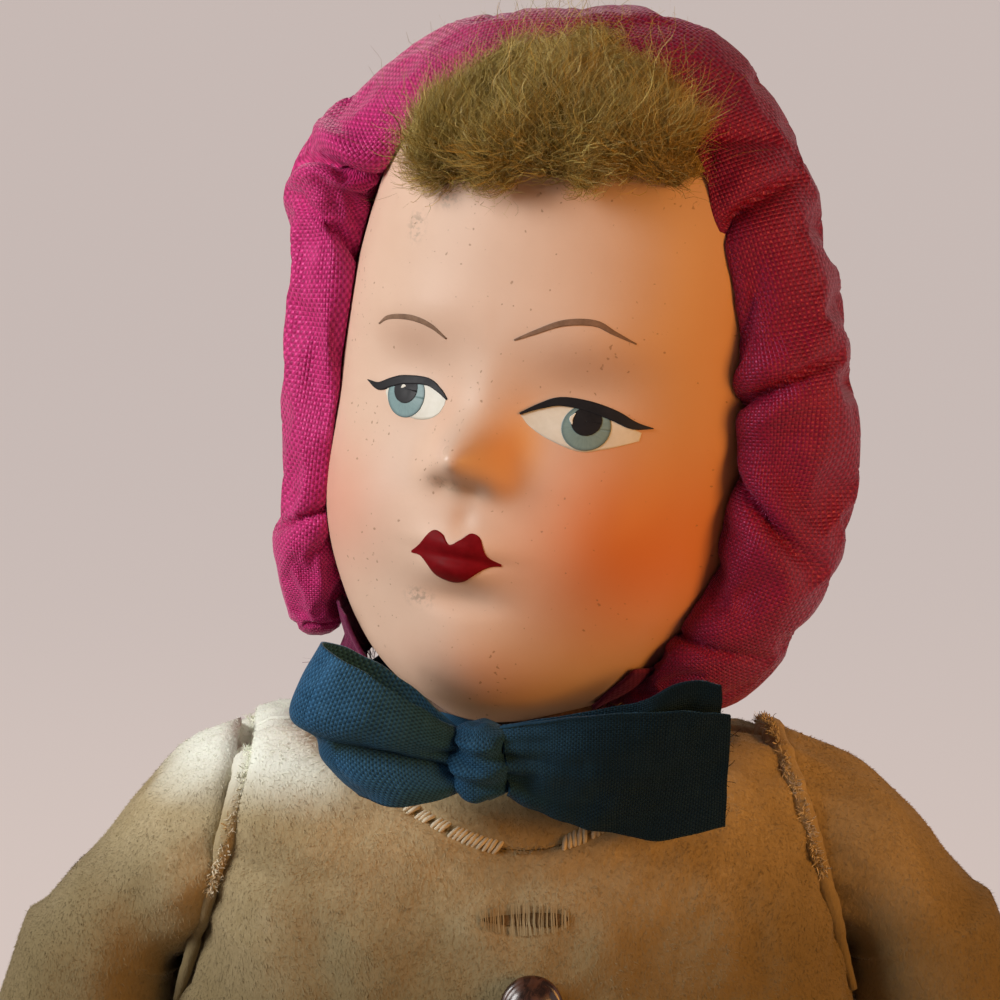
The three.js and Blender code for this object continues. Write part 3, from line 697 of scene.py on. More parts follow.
torso = {
    "height": 140.5, "halfWidth": 57.0, "halfDepth": 44.0, "power": 2.3, "thickness": 2.0,
    "sideSeam": radians(93.6), "yokeHalfWidth": 33.5, "yokeHalfDepth": 30.0, "yokeFloor": 108.0,
    "rows": [(0, 0.8, 0.8), (0.09, 0.95, 0.94), (0.3, 1, 1), (0.52, 0.97, 0.97), (0.72, 0.93, 0.86),
             (0.84, 0.91, 0.75), (0.92, 0.865, 0.66), (0.97, 0.76, 0.54), (1, 0.5, 0.36)],
    "buttonAt": (0.0, 106.0), "tearAt": (-0.6, 117.4), "wallRows": 130, "seatRows": 12,
}
armhole = {"centre": (47.2, 0.0, 119.0), "lean": radians(17), "halfHeight": 18.5, "halfDepth": 16.5,
           "welt": 1.15, "beside": 1.6, "steps": 90}
torsoMiddle = np.array([0, 0, 70.0])
hip = {"y": -26.0, "z": 20.3, "radius": 20.8}


def armholeFrame(hand):
    centre = np.array([hand * armhole["centre"][0], 0, armhole["centre"][2]])
    out = np.array([hand * cos(armhole["lean"]), 0, sin(armhole["lean"])])
    down = np.array([hand * sin(armhole["lean"]), 0, -cos(armhole["lean"])])
    return centre, out, down


def torsoPoint(angle, height):
    # a squared oval at each height: half-width and half-depth from the rows, angle 0 in front and 90
    # degrees on the doll's left
    width, depth = lookUp(torso["rows"], height / torso["height"])
    x = torso["halfWidth"] * width * rounded(np.sin(angle), torso["power"])
    y = -torso["halfDepth"] * depth * rounded(np.cos(angle), torso["power"])
    return np.stack([x, y, height + 0 * x], -1)


def yokeHeight(angle):
    # where the neck seam crosses each column: the lowest height at which the body is inside the yoke's oval
    heights = np.linspace(0.6 * torso["height"], 0.995 * torso["height"], 500)
    p = torsoPoint(angle[None, :] + 0 * heights[:, None], heights[:, None] + 0 * angle[None, :])
    inside = (p[..., 0] / torso["yokeHalfWidth"]) ** 2 + (p[..., 1] / torso["yokeHalfDepth"]) ** 2 < 1
    return np.maximum(heights[np.argmax(inside, 0)], torso["yokeFloor"])


def seamDistance(p, hand):
    # how far a point is from the armhole's oval seam, as a distance on its plane, and the turn round it
    centre, _, down = armholeFrame(hand)
    away = p - centre
    fall = (away @ down) / armhole["halfHeight"]
    aside = away[..., 1] / armhole["halfDepth"]
    return (np.hypot(fall, aside) - 1) * armhole["halfDepth"], np.arctan2(aside, fall)


def dressTorso(p, angle, seamHeight):
    # the stuffed look: lumps, the pull of the seams and button, soft folds, then the flats at the arms and
    # the lap
    n = outwardNormals(p, torsoMiddle)
    front = smoothStep(4, -10, p[..., 1])
    x, z = p[..., 0], p[..., 2]
    swell = 0.9 * lumps(p, 46, 3) + 0.4 * lumps(p, 17, 5)
    swell = swell + 0.16 * lumps(p, 5, 8) + 0.08 * lumps(p, 2.6, 9) - 0.9
    buttonX, buttonZ = torso["buttonAt"]
    pull = np.hypot(x - buttonX, (z - buttonZ) * 0.9)
    sewn = front * np.exp(-(pull / 8) ** 2)
    swell += sewn * (1.3 - swell) + front * 1.1 * bell(pull, 12, 5)
    swell -= front * 0.4 * np.cos(np.arctan2(z - buttonZ, x - buttonX) * 7) * bell(pull, 11, 4.2)
    tearX, tearZ = torso["tearAt"]
    swell -= front * 0.9 * bell(x, tearX, 6) * bell(z, tearZ, 1.6)
    fromSide = np.abs(np.abs(angle) - torso["sideSeam"]) * torso["halfWidth"]
    swell -= 1.3 * bell(fromSide, 0, 3.0) * (1 + 0.3 * np.sin(z * 1.1))
    fromYoke = z - seamHeight
    swell -= 0.5 * bell(fromYoke, 0, 1.5) - 0.5 * bell(fromYoke, -2.4, 1.6)
    for hand in (-1, 1):
        away, turn = seamDistance(p, hand)
        near = np.exp(-np.maximum(away, 0) / 7) * (x * hand > 20)
        swell += near * (0.4 * np.sin(turn * 17 + 2 * hand) - 0.2)
        fold = hand * 33 + 3 * np.sin(z / 13)
        swell -= front * 0.8 * bell(x, fold, 3.2) * smoothStep(50, 75, z) * smoothStep(126, 108, z)
    swell += 2.2 * bell(z, 92, 10) * smoothStep(40, 49, np.abs(x))
    swell += (3.0 * bell(x, -34, 11) + 2.2 * bell(x, -43, 7)) * smoothStep(120, 136, z)
    p = p + n * swell[..., None]
    for hand in (-1, 1):
        centre, out, _ = armholeFrame(hand)
        beyond = np.maximum((p - centre) @ out + 0.2, 0)
        p = p - beyond[..., None] * out
    z = p[..., 2]
    wall = np.sqrt(np.maximum(hip["radius"] ** 2 - np.maximum(z - hip["z"], 0) ** 2, 0))
    rise = np.clip((z - hip["z"] - hip["radius"]) / 7, 0, 1)
    least = np.where(rise > 0, hip["y"] - 22 * np.sqrt(rise * (2 - rise)), hip["y"] + wall)
    pushed = np.where(rise < 1, np.maximum(p[..., 1], least), p[..., 1])
    across = np.abs(p[..., 0])
    room = 0.72 + 0.28 * smoothStep(3.0, 5.0, across) * smoothStep(53.8, 51.8, across)
    room = np.maximum(room, smoothStep(hip["z"] + hip["radius"] - 2, hip["z"] + hip["radius"] + 3, z))
    p[..., 1] += room * (pushed - p[..., 1])
    p[..., 2] = np.maximum(p[..., 2], 0)
    return p


def torsoPanel(name, first, last, columns, node, more):
    # one side of the body: columns from the seat to the neck seam, and a flat fan of rows that closes the
    # seat
    angle = np.linspace(first, last, columns)
    seamHeight = yokeHeight(angle)
    t = shares(torso["wallRows"])[:, None]
    height = t * (seamHeight[None] - 0.15)
    p = dressTorso(torsoPoint(angle[None] + 0 * t, height), angle[None] + 0 * t, seamHeight[None])
    centre = np.array([0, 4.0, 0])
    inward = np.linspace(0.03, 0.985, torso["seatRows"])[:, None, None]
    seat = centre + inward * (p[:1] - centre)
    p = np.concatenate([seat, p])
    inner = p - outwardNormals(p, torsoMiddle) * torso["thickness"]
    panel = shellPiece(name, p, inner, plushBacking)
    place(panel, "torso", "plush", node, *more)
    return panel


def bodyNap(p):
    # the pile lies down the body, swept aside here and there as if stroked
    sweep = lumps(p, 24, 21)
    return np.stack([0.9 * sweep + 0.006 * p[:, 0], 0 * sweep, -1 + 0.3 * lumps(p, 31, 22)], -1)


def keepBody(p, n):
    outside = np.sum(n * (p - torsoMiddle), 1) > 0
    clear = np.ones(len(p))
    for hand in (-1, 1):
        centre, out, _ = armholeFrame(hand)
        flat = (p - centre) @ out > -0.6
        clear *= 1 - flat * (seamDistance(p, hand)[0] < -1.5)
    lap = (np.hypot(p[:, 1] - hip["y"], p[:, 2] - hip["z"]) < hip["radius"] + 0.6) | (p[:, 2] < 0.6)
    tearX, tearZ = torso["tearAt"]
    torn = (np.abs(p[:, 0] - tearX) < 5.5) & (np.abs(p[:, 2] - tearZ) < 1.7) & (p[:, 1] < 0)
    return outside * clear * ~lap * ~torn


def makeTorso():
    # front and back meet at the side seams; the yoke runs from the neck seam to the top, folded back inside
    seam = torso["sideSeam"]
    front = torsoPanel("plushFront", -seam, seam, 190, "torso_front", ["torso_stuffing"])
    back = torsoPanel("plushBack", seam, 2 * pi - seam, 130, "torso_back", [])
    angle = np.linspace(0, 2 * pi, 220, endpoint=False)
    seamHeight = yokeHeight(angle)
    t = shares(34)[:, None]
    height = seamHeight[None] + t * (torso["height"] - seamHeight[None])
    turn = np.where(angle > pi, angle - 2 * pi, angle)[None] + 0 * t
    outer = dressTorso(torsoPoint(angle[None] + 0 * t, height), turn, seamHeight[None])
    inner = outer - outwardNormals(outer, np.array([0, 0, 100.0]), True) * torso["thickness"]
    skin = np.concatenate([inner[::-1], outer])
    yoke = gridPiece("plushYoke", skin, None, plushBacking, wrap=True, loop=True)
    place(yoke, "torso", "plush", "neck_yoke")
    for panel, name, seed in ((front, "frontPile", 31), (back, "backPile", 32), (yoke, "yokePile", 33)):
        place(pileOn(name, panel, bodyNap, keepBody, seed), "torso", "plush")


makeTorso()
print("plush body made")


# Arms

arm = {
    "length": 88.0, "slope": 0.2, "halfThickness": 13.0, "halfWidth": 16.5, "fanRows": 18, "limbRows": 74,
    "sides": 76,
    "rows": [(0, 1, 1.08), (0.2, 1.06, 1.06), (0.45, 1, 1), (0.7, 0.86, 0.84), (0.8, 0.82, 0.8),
             (0.9, 0.94, 0.92), (0.97, 0.72, 0.74), (1, 0.36, 0.38), (1.008, 0.1, 0.1)],
}


def makeArm(hand, seed):
    # rings that fan out of the armhole about the armpit, then run down beside the body
    name, body = sideOf(hand) + "Arm", "arm_" + sideOf(hand)
    centre, out, down = armholeFrame(hand)
    armpit = centre + down * armhole["halfHeight"] + out * 0.3
    share = np.linspace(0, 1, arm["fanRows"], endpoint=False)[:, None]
    across = -down * np.cos(share * pi / 2) + out * np.sin(share * pi / 2)
    halfAcross = armhole["halfHeight"] + share * (arm["halfThickness"] - armhole["halfHeight"])
    halfAcross = halfAcross * (1 - arm["slope"] * np.sin(share * pi) ** 0.8)
    halfDepth = armhole["halfDepth"] + share * (arm["halfWidth"] * 1.08 - armhole["halfDepth"])
    middle = armpit + across * halfAcross
    row = through(arm["rows"], shares(arm["limbRows"]))
    across = np.vstack([across, np.repeat(out[None], len(row), 0)])
    limb = armpit + down * arm["length"] * row[:, :1] + out * arm["halfThickness"] * 1.06
    middle = np.vstack([middle, limb])
    halfAcross = np.vstack([halfAcross, arm["halfThickness"] * row[:, 1:2]])
    halfDepth = np.vstack([halfDepth, arm["halfWidth"] * row[:, 2:3]])
    angle = np.linspace(0, 2 * pi, arm["sides"], endpoint=False)[None, :, None]
    p = middle[:, None] + across[:, None] * halfAcross[:, None] * np.cos(angle)
    p = p + backWay * halfDepth[:, None] * np.sin(angle)
    n = outwardNormals(p, middle[:, None], True)
    fromRoot = shares(len(p))[:, None] * (len(p) / arm["fanRows"])
    outer = 0.5 + 0.5 * np.cos(angle[..., 0])
    swell = 0.7 * lumps(p, 30, seed) + 0.3 * lumps(p, 12, seed + 1) - 0.8
    # the doll's right shoulder slopes straighter off the neck
    full, root = (-1.0, 4.7) if hand < 0 else (0.9, 1.0)
    swell += (full * bell(fromRoot, 0.52, 0.34) + root * bell(fromRoot, 0.1, 0.3)) * outer
    swell += 0.35 * np.sin(angle[..., 0] * 15 + hand) * np.exp(-fromRoot * 3.2)
    seam = np.exp(-(np.sin((angle[..., 0] - pi / 2) / 2) / 0.06) ** 2)
    swell -= 0.8 * seam * smoothStep(0.2, 1.0, fromRoot)
    swell -= 0.5 * bell(fromRoot, 4.05, 0.12)
    swell += 4.3 * (1 - outer) ** 2 * bell(fromRoot, 1.55, 0.7)
    p = p + n * swell[..., None]
    beyond = np.minimum((p - centre) @ out - 0.3, 0)
    p = p - beyond[..., None] * out
    piece = gridPiece(name, p, None, plushBacking, wrap=True, cap=True)
    place(piece, body, "plush", body + "_cover", body + "_stuffing")

    def nap(q):
        return down + 0.7 * lumps(q, 22, seed + 2)[:, None] * backWay

    def keep(q, normal):
        return 1.0 * ((q - centre) @ out > 0.4)

    place(pileOn(name + "Pile", piece, nap, keep, seed + 3), body, "plush")


makeArm(1, 41)
makeArm(-1, 51)
print("arms made")


# Tufts and stitches along the seams

def tuftsAlong(name, path, normal, pitch, perTuft, length, slant, seed, material, spread):
    # little sheaves of pile standing along a seam: roots at even steps, blades leaning one way with some
    # scatter
    dice = np.random.default_rng(seed)
    gap = np.linalg.norm(np.diff(path, axis=0), axis=1)
    far = np.concatenate([[0], np.cumsum(gap)])
    spots = np.arange(0.5 * pitch, far[-1], pitch)
    at = np.stack([np.interp(spots, far, path[:, k]) for k in range(3)], -1)
    up = unit(np.stack([np.interp(spots, far, normal[:, k]) for k in range(3)], -1))
    way = unit(np.gradient(at, axis=0))
    side = np.cross(way, up)
    each = np.repeat(np.arange(len(spots)), perTuft)
    count = len(each)
    scatter = dice.normal(size=(count, 3)) * (0.22 * pitch, 0.4, 0.1)
    root = at[each] + way[each] * scatter[:, :1] + side[each] * scatter[:, 1:2] - up[each] * 0.3
    lean = side[each] * slant + way[each] * 0.35 + dice.normal(size=(count, 3)) * spread
    lean = unit(lean + up[each] * 0.9)
    size = length * dice.uniform(0.6, 1.25, (count, 1, 1))
    s = shares(4)[None, :, None]
    bend = dice.normal(size=(count, 1, 3)) * 0.25 * length
    paths = root[:, None] + lean[:, None] * s * size + bend * s ** 2
    return fibres(name, paths, 0.24, material, 0.35, seed + 1)


def seamReach(names, hand):
    # how far the pieces' own points beside the seam reach from the armhole's middle, at each turn round it
    centre, out, down = armholeFrame(hand)
    away = np.vstack([triangles(bpy.data.objects[name])[0] for name in names]) - centre
    away = away[np.abs(away @ out) < armhole["beside"]]
    turn = np.arctan2(away[:, 1], away @ down) % (2 * pi)
    most = np.zeros(armhole["steps"])
    np.maximum.at(most, (turn / (2 * pi) * armhole["steps"]).astype(int), np.hypot(away @ down, away[:, 1]))
    known = np.flatnonzero(most)
    most = np.interp(np.arange(armhole["steps"]), known, most[known], period=armhole["steps"])
    for _ in range(3):
        most = 0.25 * np.roll(most, 1) + 0.5 * most + 0.25 * np.roll(most, -1)
    return most


def seamLine(hand, a):
    # the line between the body's edge and the arm's, the way out from the armhole's middle, and the radius
    # that bridges the two edges
    centre, out, down = armholeFrame(hand)
    body = seamReach(["plushFront", "plushBack"], hand)
    limb = seamReach([sideOf(hand) + "Arm"], hand)
    at = (np.arange(armhole["steps"]) + 0.5) * 2 * pi / armhole["steps"]
    reach = np.interp(a, at, (body + limb) / 2, period=2 * pi)
    radius = np.interp(a, at, armhole["welt"] + 0.35 * np.minimum(np.abs(body - limb), 2.0), period=2 * pi)
    ray = np.cos(a)[:, None] * down + np.sin(a)[:, None] * backWay
    crest = bell(a, pi, 0.55)
    radius = radius + 0.7 * crest
    reach = reach - 0.55 * radius + (2.9 if hand < 0 else 0.9) * crest
    return centre + ray * reach[:, None] + out * 0.05, ray, radius


def dressArmhole(hand, seed):
    # the seam's own ridge, a lumpy tube that thins out under the arm, and loose tufts of pile over its top,
    # painted pale as a highlight
    side = sideOf(hand).capitalize()
    path, _, radius = seamLine(hand, np.linspace(0.16 * pi, 1.84 * pi, 220))
    ends = np.sin(np.linspace(0.03, pi - 0.03, len(path))) ** 0.3
    profile = ends * radius * (1 + 0.08 * lumps(path, 3, 165))
    place(tube("armholeWelt" + side, path, 1.0, plushBacking, 14, profile), "torso", "plush")
    path, ray, radius = seamLine(hand, np.linspace(0.5 * pi, 1.53 * pi, 120))
    crest = path + ray * radius[:, None]
    tufts = tuftsAlong("armholeTufts" + side, crest, ray, 0.45, 9, 1.0, 0.0, seed, seamPileHighlight, 0.9)
    place(tufts, "torso", "plush")


dressArmhole(1, 161)
dressArmhole(-1, 163)


def frontPatch(x, z):
    # the dressed front of the body over a spot seen from the front, with its normal
    width = lookUp(torso["rows"], z / torso["height"])[0] * torso["halfWidth"]
    sine = np.sign(x) * np.abs(x / width) ** (torso["power"] / 2)
    angle = np.arcsin(sine)
    p = dressTorso(torsoPoint(angle, z), angle, yokeHeight(angle[0])[None])
    return p, outwardNormals(p, torsoMiddle)


rope = {"stretches": ((-22, -4, 0.37), (6, 17, 0.4)), "pitch": 0.78, "across": 1.25, "along": 0.6,
        "arch": 0.75, "sunk": 0.25}


def seamRidge():
    # the neck seam below the bow: slanted overcast threads in two stretches, painted pale as a highlight,
    # short tufts between them
    angle = np.linspace(radians(-75), radians(75), 200)
    height = yokeHeight(angle)
    turn = angle[None] + np.zeros((3, 1))
    p = dressTorso(torsoPoint(turn, height[None] + np.array([[-0.6], [0.0], [0.6]])), turn, height[None])
    n = outwardNormals(p, torsoMiddle)
    stitches = []
    for low, high, thick in rope["stretches"]:
        far = np.interp(np.arange(low, high, rope["pitch"]), p[1, :, 0], np.arange(p.shape[1]))
        for column in np.round(far).astype(int):
            at, up = p[1, column], n[1, column]
            along = unit(p[1, column + 1] - p[1, column - 1])
            across = np.cross(up, along)
            t = np.linspace(-1, 1, 7)[:, None]
            lean = across * rope["across"] + along * rope["along"]
            path = at + t * lean + up * (rope["arch"] * (1 - t ** 2) - rope["sunk"])
            stitches.append(tube("ropeStitch", path, thick, seamPileHighlight, 6, 1 - 0.3 * t[:, 0] ** 2))
    place(joined("seamRope", stitches), "torso", "plush")
    use = np.abs(p[1, :, 0]) < 40
    tufts = tuftsAlong("seamTufts", p[1, use], n[1, use], 0.8, 8, 0.9, 0.4, 165, plushPile, 0.6)
    place(tufts, "torso", "plush")


seamRidge()


tear = {"halfLength": 6.6, "halfHeight": 1.25, "lift": 0.34, "threads": 44, "threadLift": 0.46}


def makeTear():
    # a worn ladder in the front: a dark lens of painted shade where the backing has gone, crossed by the
    # upright threads left in it
    dice = np.random.default_rng(171)
    atX, atZ = torso["tearAt"]
    across, up = np.meshgrid(np.linspace(-1, 1, 44), np.linspace(-1, 1, 9))
    tall = tear["halfHeight"] * np.sqrt(np.maximum(1 - across ** 2, 0.003)) * (0.8 + 0.3 * across)
    x, z = atX + tear["halfLength"] * across, atZ + up * tall
    p, n = frontPatch(x, z)
    hole = gridPiece("tornHole", p + n * tear["lift"], np.stack([x, z], -1), tearShadow, flip=False)
    place(hole, "torso", "plush")
    count = tear["threads"]
    spot = np.linspace(-6.5, 6.5, count) + dice.normal(size=count) * 0.07
    spot = spot[dice.random(count) > 0.2]
    t = np.linspace(-1, 1, 9)[:, None]
    reach = 2.0 * np.sqrt(1 - (spot / 6.9) ** 2) + 0.35
    q, m = frontPatch(atX + spot + 0.06 * t * dice.normal(size=len(spot)), atZ + t * reach)
    q = q + m * (tear["threadLift"] + 0.12 * dice.random(len(spot)))[None, :, None]
    paths, normals = q.transpose(1, 0, 2), m.transpose(1, 0, 2)
    widths = dice.uniform(0.12, 0.26, len(spot))
    place(fibres("tornThreads", paths, widths, plushPile, 1.0, 172, normals), "torso", "plush")


# painted shade inside the tear
tearShadow = paintMaterial("tearShadow", (0.07, 0.042, 0.018), (0.19, 0.125, 0.058), 0.9, 0.6, 0.0, 0.1)
makeTear()
print("seams dressed")


# Legs

leg = {
    "spacing": 56.0, "halfWidth": 23.0, "radius": 20.0, "length": 118.0, "floor": 0.3, "sides": 72,
    "rows": [(0, 1, 1), (0.22, 0.98, 1), (0.5, 0.8, 0.84), (0.7, 0.78, 0.8), (0.9, 0.66, 0.7),
             (1, 0.6, 0.62)],
    "footHalf": (17.0, 17.0, 28.0), "soleCut": 0.55, "voxel": 1.5, "pileShare": 0.85, "stitches": 46,
}


def fused(name, things, voxel, rounds, material):
    # closed pieces melted into one skin and smoothed where they meet
    whole = joined(name + "Raw", things)
    remesh = whole.modifiers.new("melt", "REMESH")
    remesh.mode, remesh.voxel_size = "VOXEL", voxel * mm
    smooth = whole.modifiers.new("ease", "SMOOTH")
    smooth.factor, smooth.iterations = 0.5, rounds
    ready = whole.evaluated_get(bpy.context.evaluated_depsgraph_get())
    mesh = bpy.data.meshes.new_from_object(ready)
    mesh.name = name
    bpy.data.objects.remove(whole)
    mesh.materials.clear()
    mesh.materials.append(material)
    mesh.polygons.foreach_set("use_smooth", np.ones(len(mesh.polygons), bool))
    return newObject(name, mesh)


def moveVertices(thing, change):
    mesh = thing.data
    points, normals = np.empty((2, len(mesh.vertices) * 3), np.float32)
    mesh.vertices.foreach_get("co", points)
    mesh.vertices.foreach_get("normal", normals)
    moved = change(points.reshape(-1, 3).astype(float) / mm, normals.reshape(-1, 3).astype(float))
    mesh.vertices.foreach_set("co", (moved * mm).astype(np.float32).ravel())
    mesh.update()


def makeLeg(hand, seed):
    # thigh and shin are ovals along the leg on the floor, the foot is an egg standing at the end
    name, body = sideOf(hand) + "Leg", "leg_" + sideOf(hand)
    middleX = hand * leg["spacing"] / 2
    angle = np.linspace(0, 2 * pi, leg["sides"], endpoint=False)
    turn = np.radians(np.linspace(86, 3, 18))
    row = through(leg["rows"], shares(60))
    y = np.concatenate([hip["y"] + leg["radius"] * np.sin(turn), hip["y"] - leg["length"] * row[:, 0]])
    wide = np.concatenate([leg["halfWidth"] * np.cos(turn), leg["halfWidth"] * row[:, 1]])
    high = np.concatenate([leg["radius"] * np.cos(turn), leg["radius"] * row[:, 2]])
    middleZ = np.concatenate([0 * turn + hip["z"], leg["floor"] + leg["radius"] * row[:, 2]])
    y, wide, high, middleZ = (row[:, None] for row in (y, wide, high, middleZ))
    p = np.stack([middleX + wide * np.cos(angle), y + 0 * angle, middleZ + high * np.sin(angle)], -1)
    shin = gridPiece(name + "Shin", p, None, None, wrap=True, cap=True)
    up = np.linspace(-0.49, 0.49, 40)[:, None] * pi
    halfX, halfY, halfZ = leg["footHalf"]
    ankle = np.array([middleX, hip["y"] - leg["length"], leg["floor"] + halfZ])
    egg = np.stack([halfX * np.cos(up) * np.cos(angle), halfY * np.cos(up) * np.sin(angle),
                    halfZ * np.sin(up) + 0 * angle], -1) + ankle
    foot = gridPiece(name + "Foot", egg, None, None, wrap=True, cap=True)
    piece = fused(name, [shin, foot], leg["voxel"], 14, plushBacking)
    soleY = ankle[1] - leg["soleCut"] * halfY

    def stuff(q, n):
        swell = 0.8 * lumps(q, 34, seed) + 0.3 * lumps(q, 13, seed + 1) - 0.5
        ring = q[:, 1] - hip["y"] + leg["length"] * 0.5
        swell -= 0.9 * bell(ring, 0, 2.2) * smoothStep(8, 24, q[:, 2])
        under = np.abs(q[:, 0] - middleX)
        swell -= 0.8 * bell(under, 0, 1.6) * (n[:, 2] > 0.4) * smoothStep(soleY + 30, soleY + 60, q[:, 1])
        q = q + n * (swell * smoothStep(hip["y"] + 4, hip["y"] - 8, q[:, 1]))[:, None]
        q[:, 1] = np.maximum(q[:, 1], soleY + 0.15)
        q[:, 2] = np.maximum(q[:, 2], leg["floor"])
        return q

    moveVertices(piece, stuff)
    place(piece, body, "plush", body + "_cover", body + "_stuffing")

    def nap(q):
        up = smoothStep(ankle[1] + 26, ankle[1], q[:, 1]) * smoothStep(20, 34, q[:, 2])
        side = 0.6 * lumps(q, 24, seed + 2)
        return np.stack([side, -1 + up, 0.9 * up - 0.2], -1)

    def keep(q, n):
        return 1.0 * (q[:, 1] > soleY + 0.4) * (q[:, 2] > leg["floor"] + 0.3) * (q[:, 1] < hip["y"] + 9)

    place(pileOn(name + "Pile", piece, nap, keep, seed + 3, leg["pileShare"]), body, "plush")

    # the sole: an oval crowned in front, with oversewn stitches round it
    share = sqrt(1 - leg["soleCut"] ** 2)
    ring = np.linspace(0, 2 * pi, 96, endpoint=False)
    reach = np.concatenate([np.linspace(0.02, 1, 16), np.full(5, 1.0), np.linspace(0.97, 0.02, 8)])[:, None]
    depth = np.concatenate([np.full(16, -2.0), np.linspace(-1.6, -0.3, 5), np.full(8, -0.2)])[:, None]
    face = depth < -1.9
    crown = -0.7 * (1 - np.minimum(reach, 1) ** 2) * face + 0.25 * smoothStep(0.9, 1, reach) * face
    wide, tall = halfX * share, halfZ * share
    oval = np.stack([middleX + wide * reach * np.cos(ring), soleY - 0.1 + depth + crown + 0 * ring,
                     ankle[2] + tall * reach * np.sin(ring)], -1)
    oval[..., 1] += 0.12 * lumps(oval, 7, seed + 4)
    sole = gridPiece(name + "Sole", oval, None, solesFelt, wrap=True, cap=True)
    place(sole, body, "felt", "foot_" + sideOf(hand) + "_sole")
    dice = np.random.default_rng(seed + 5)
    count = leg["stitches"]
    stitch = (np.linspace(0, 2 * pi, count, endpoint=False) + dice.normal(size=count) * 0.02)[:, None]
    lift = np.array([0.86, 0.94, 1.01, 1.03])
    back = np.array([-2.75, -2.7, -1.9, 0.3])
    skew = np.linspace(0, 0.05, 4)
    path = np.stack([middleX + wide * lift * np.cos(stitch + skew), soleY - 0.1 + back + 0 * stitch,
                     ankle[2] + tall * lift * np.sin(stitch + skew)], -1)
    place(fibres(name + "SoleStitches", path, 0.5, plainMuslin, 0.9, seed + 6), body, "muslin")


makeLeg(1, 61)
makeLeg(-1, 71)
print("legs made")


# Head

skull = {
    "halfWidth": 34.0, "faceDepth": 35.0, "backDepth": 37.0, "chinDrop": 56.5, "height": 106.5, "power": 2.15,
    "turn": radians(-24), "lean": radians(8), "neckHeight": 138.0, "aboveNeck": 62.5, "maskThickness": 1.6,
    "topDrop": 5.0,
    "rows": [(0, 0.3, 0.66, 0.4), (0.05, 0.6, 0.86, 0.56), (0.13, 0.82, 0.95, 0.7), (0.25, 0.97, 1, 0.86),
             (0.42, 1, 0.97, 0.97), (0.62, 0.98, 0.97, 1), (0.8, 0.86, 0.88, 0.9), (0.93, 0.6, 0.64, 0.62),
             (1, 0.2, 0.22, 0.2)],
}


def headTurn():
    turn, lean = skull["turn"], skull["lean"]
    about = np.array([[cos(turn), -sin(turn), 0], [sin(turn), cos(turn), 0], [0, 0, 1.0]])
    tilt = np.array([[cos(lean), 0, sin(lean)], [0, 1.0, 0], [-sin(lean), 0, cos(lean)]])
    return tilt @ about


def onHead(p):
    # from the head's own frame (x doll's left, -y front, z up) to the doll's
    lean = skull["lean"]
    seat = np.array([0, 0, skull["neckHeight"]]) + skull["aboveNeck"] * np.array([sin(lean), 0, cos(lean)])
    return p @ headTurn().T + seat


nose = {"at": (-1.5, -15.4), "height": 6.3, "wide": 4.7, "up": 4.4, "down": 3.6,
        "bridge": [(-16, 2.2), (-12, 2.3), (-8, 1.5), (-3, 0.8), (3, 0.4), (9, 0.1), (14, 0.0)]}


def faceRelief(x, z):
    # mounds and hollows on the plain mask: a ball on a low bridge for the nose, two-way bells for the rest
    side = np.abs(x)

    def mound(height, atX, atZ, wide, tall):
        return height * bell(side, atX, wide) * bell(z, atZ, tall)

    aside = x - nose["at"][0] * smoothStep(2, -12, z)
    above = z - nose["at"][1]
    tall = np.where(above > 0, nose["up"], nose["down"])
    total = nose["height"] * bell(aside, 0, nose["wide"]) * bell(above, 0, tall)
    total += lookUp(nose["bridge"], np.clip(z, -16, 14))[0] * bell(aside, 0, 4.6) * smoothStep(-21, -15, z)
    apart = np.abs(aside)
    wings = 1.3 * bell(apart, 5.3, 2.3) * bell(z, -18.0, 2.3)
    total += wings - 0.5 * bell(apart, 2.4, 1.3) * bell(z, -19.8, 1.0)
    total += mound(-2.2, 13.5, -6.2, 8.5, 5.4) + mound(1.5, 13.8, -8.3, 6.2, 3.4)
    total += mound(0.9, 13, 4.5, 10, 4.2) + mound(2.8, 20, -25, 11, 10)
    total += mound(2.2, 0, -28, 9.5, 7.5) + mound(1.0, 0, -27.9, 6.2, 1.7) + mound(1.3, 0, -31.6, 4.8, 1.8)
    total += mound(-0.35, 0, -29.7, 6.2, 0.8) + mound(-0.45, 0, -24, 1.6, 2.0) + mound(-1.1, 0, -36, 6, 2)
    return total + mound(2.8, 0, -45, 9.5, 7.0)


def skullShare(z):
    return (z + skull["chinDrop"]) / skull["height"]


def headPoint(angle, share, offset=0.0):
    # a squared oval at each height, deeper in front or behind by its own rows, with the relief on the front
    width, front, back = lookUp(skull["rows"], share)
    cosine = np.cos(angle)
    z = -skull["chinDrop"] + skull["height"] * share
    z = z - skull["topDrop"] * smoothStep(20, 50, z)
    x = (skull["halfWidth"] * width + offset) * rounded(np.sin(angle), skull["power"])
    depth = np.where(cosine > 0, skull["faceDepth"] * front, skull["backDepth"] * back) + offset
    y = -depth * rounded(cosine, skull["power"]) - faceRelief(x, z) * np.maximum(cosine, 0)
    return np.stack([x, y, z + 0 * x], -1)


def facePoint(x, z, lift=0.0):
    # the face's surface over a spot seen from the front, lifted along the surface's normal
    def flat(x, z):
        share = skullShare(z)
        width = lookUp(skull["rows"], share)[0] * skull["halfWidth"]
        sine = np.sign(x) * np.clip(np.abs(x) / width, 0, 0.999) ** (skull["power"] / 2)
        return headPoint(np.arcsin(sine), share)

    step = 0.2
    across, along = flat(x + step, z) - flat(x - step, z), flat(x, z + step) - flat(x, z - step)
    return flat(x, z) + unit(np.cross(across, along)) * lift


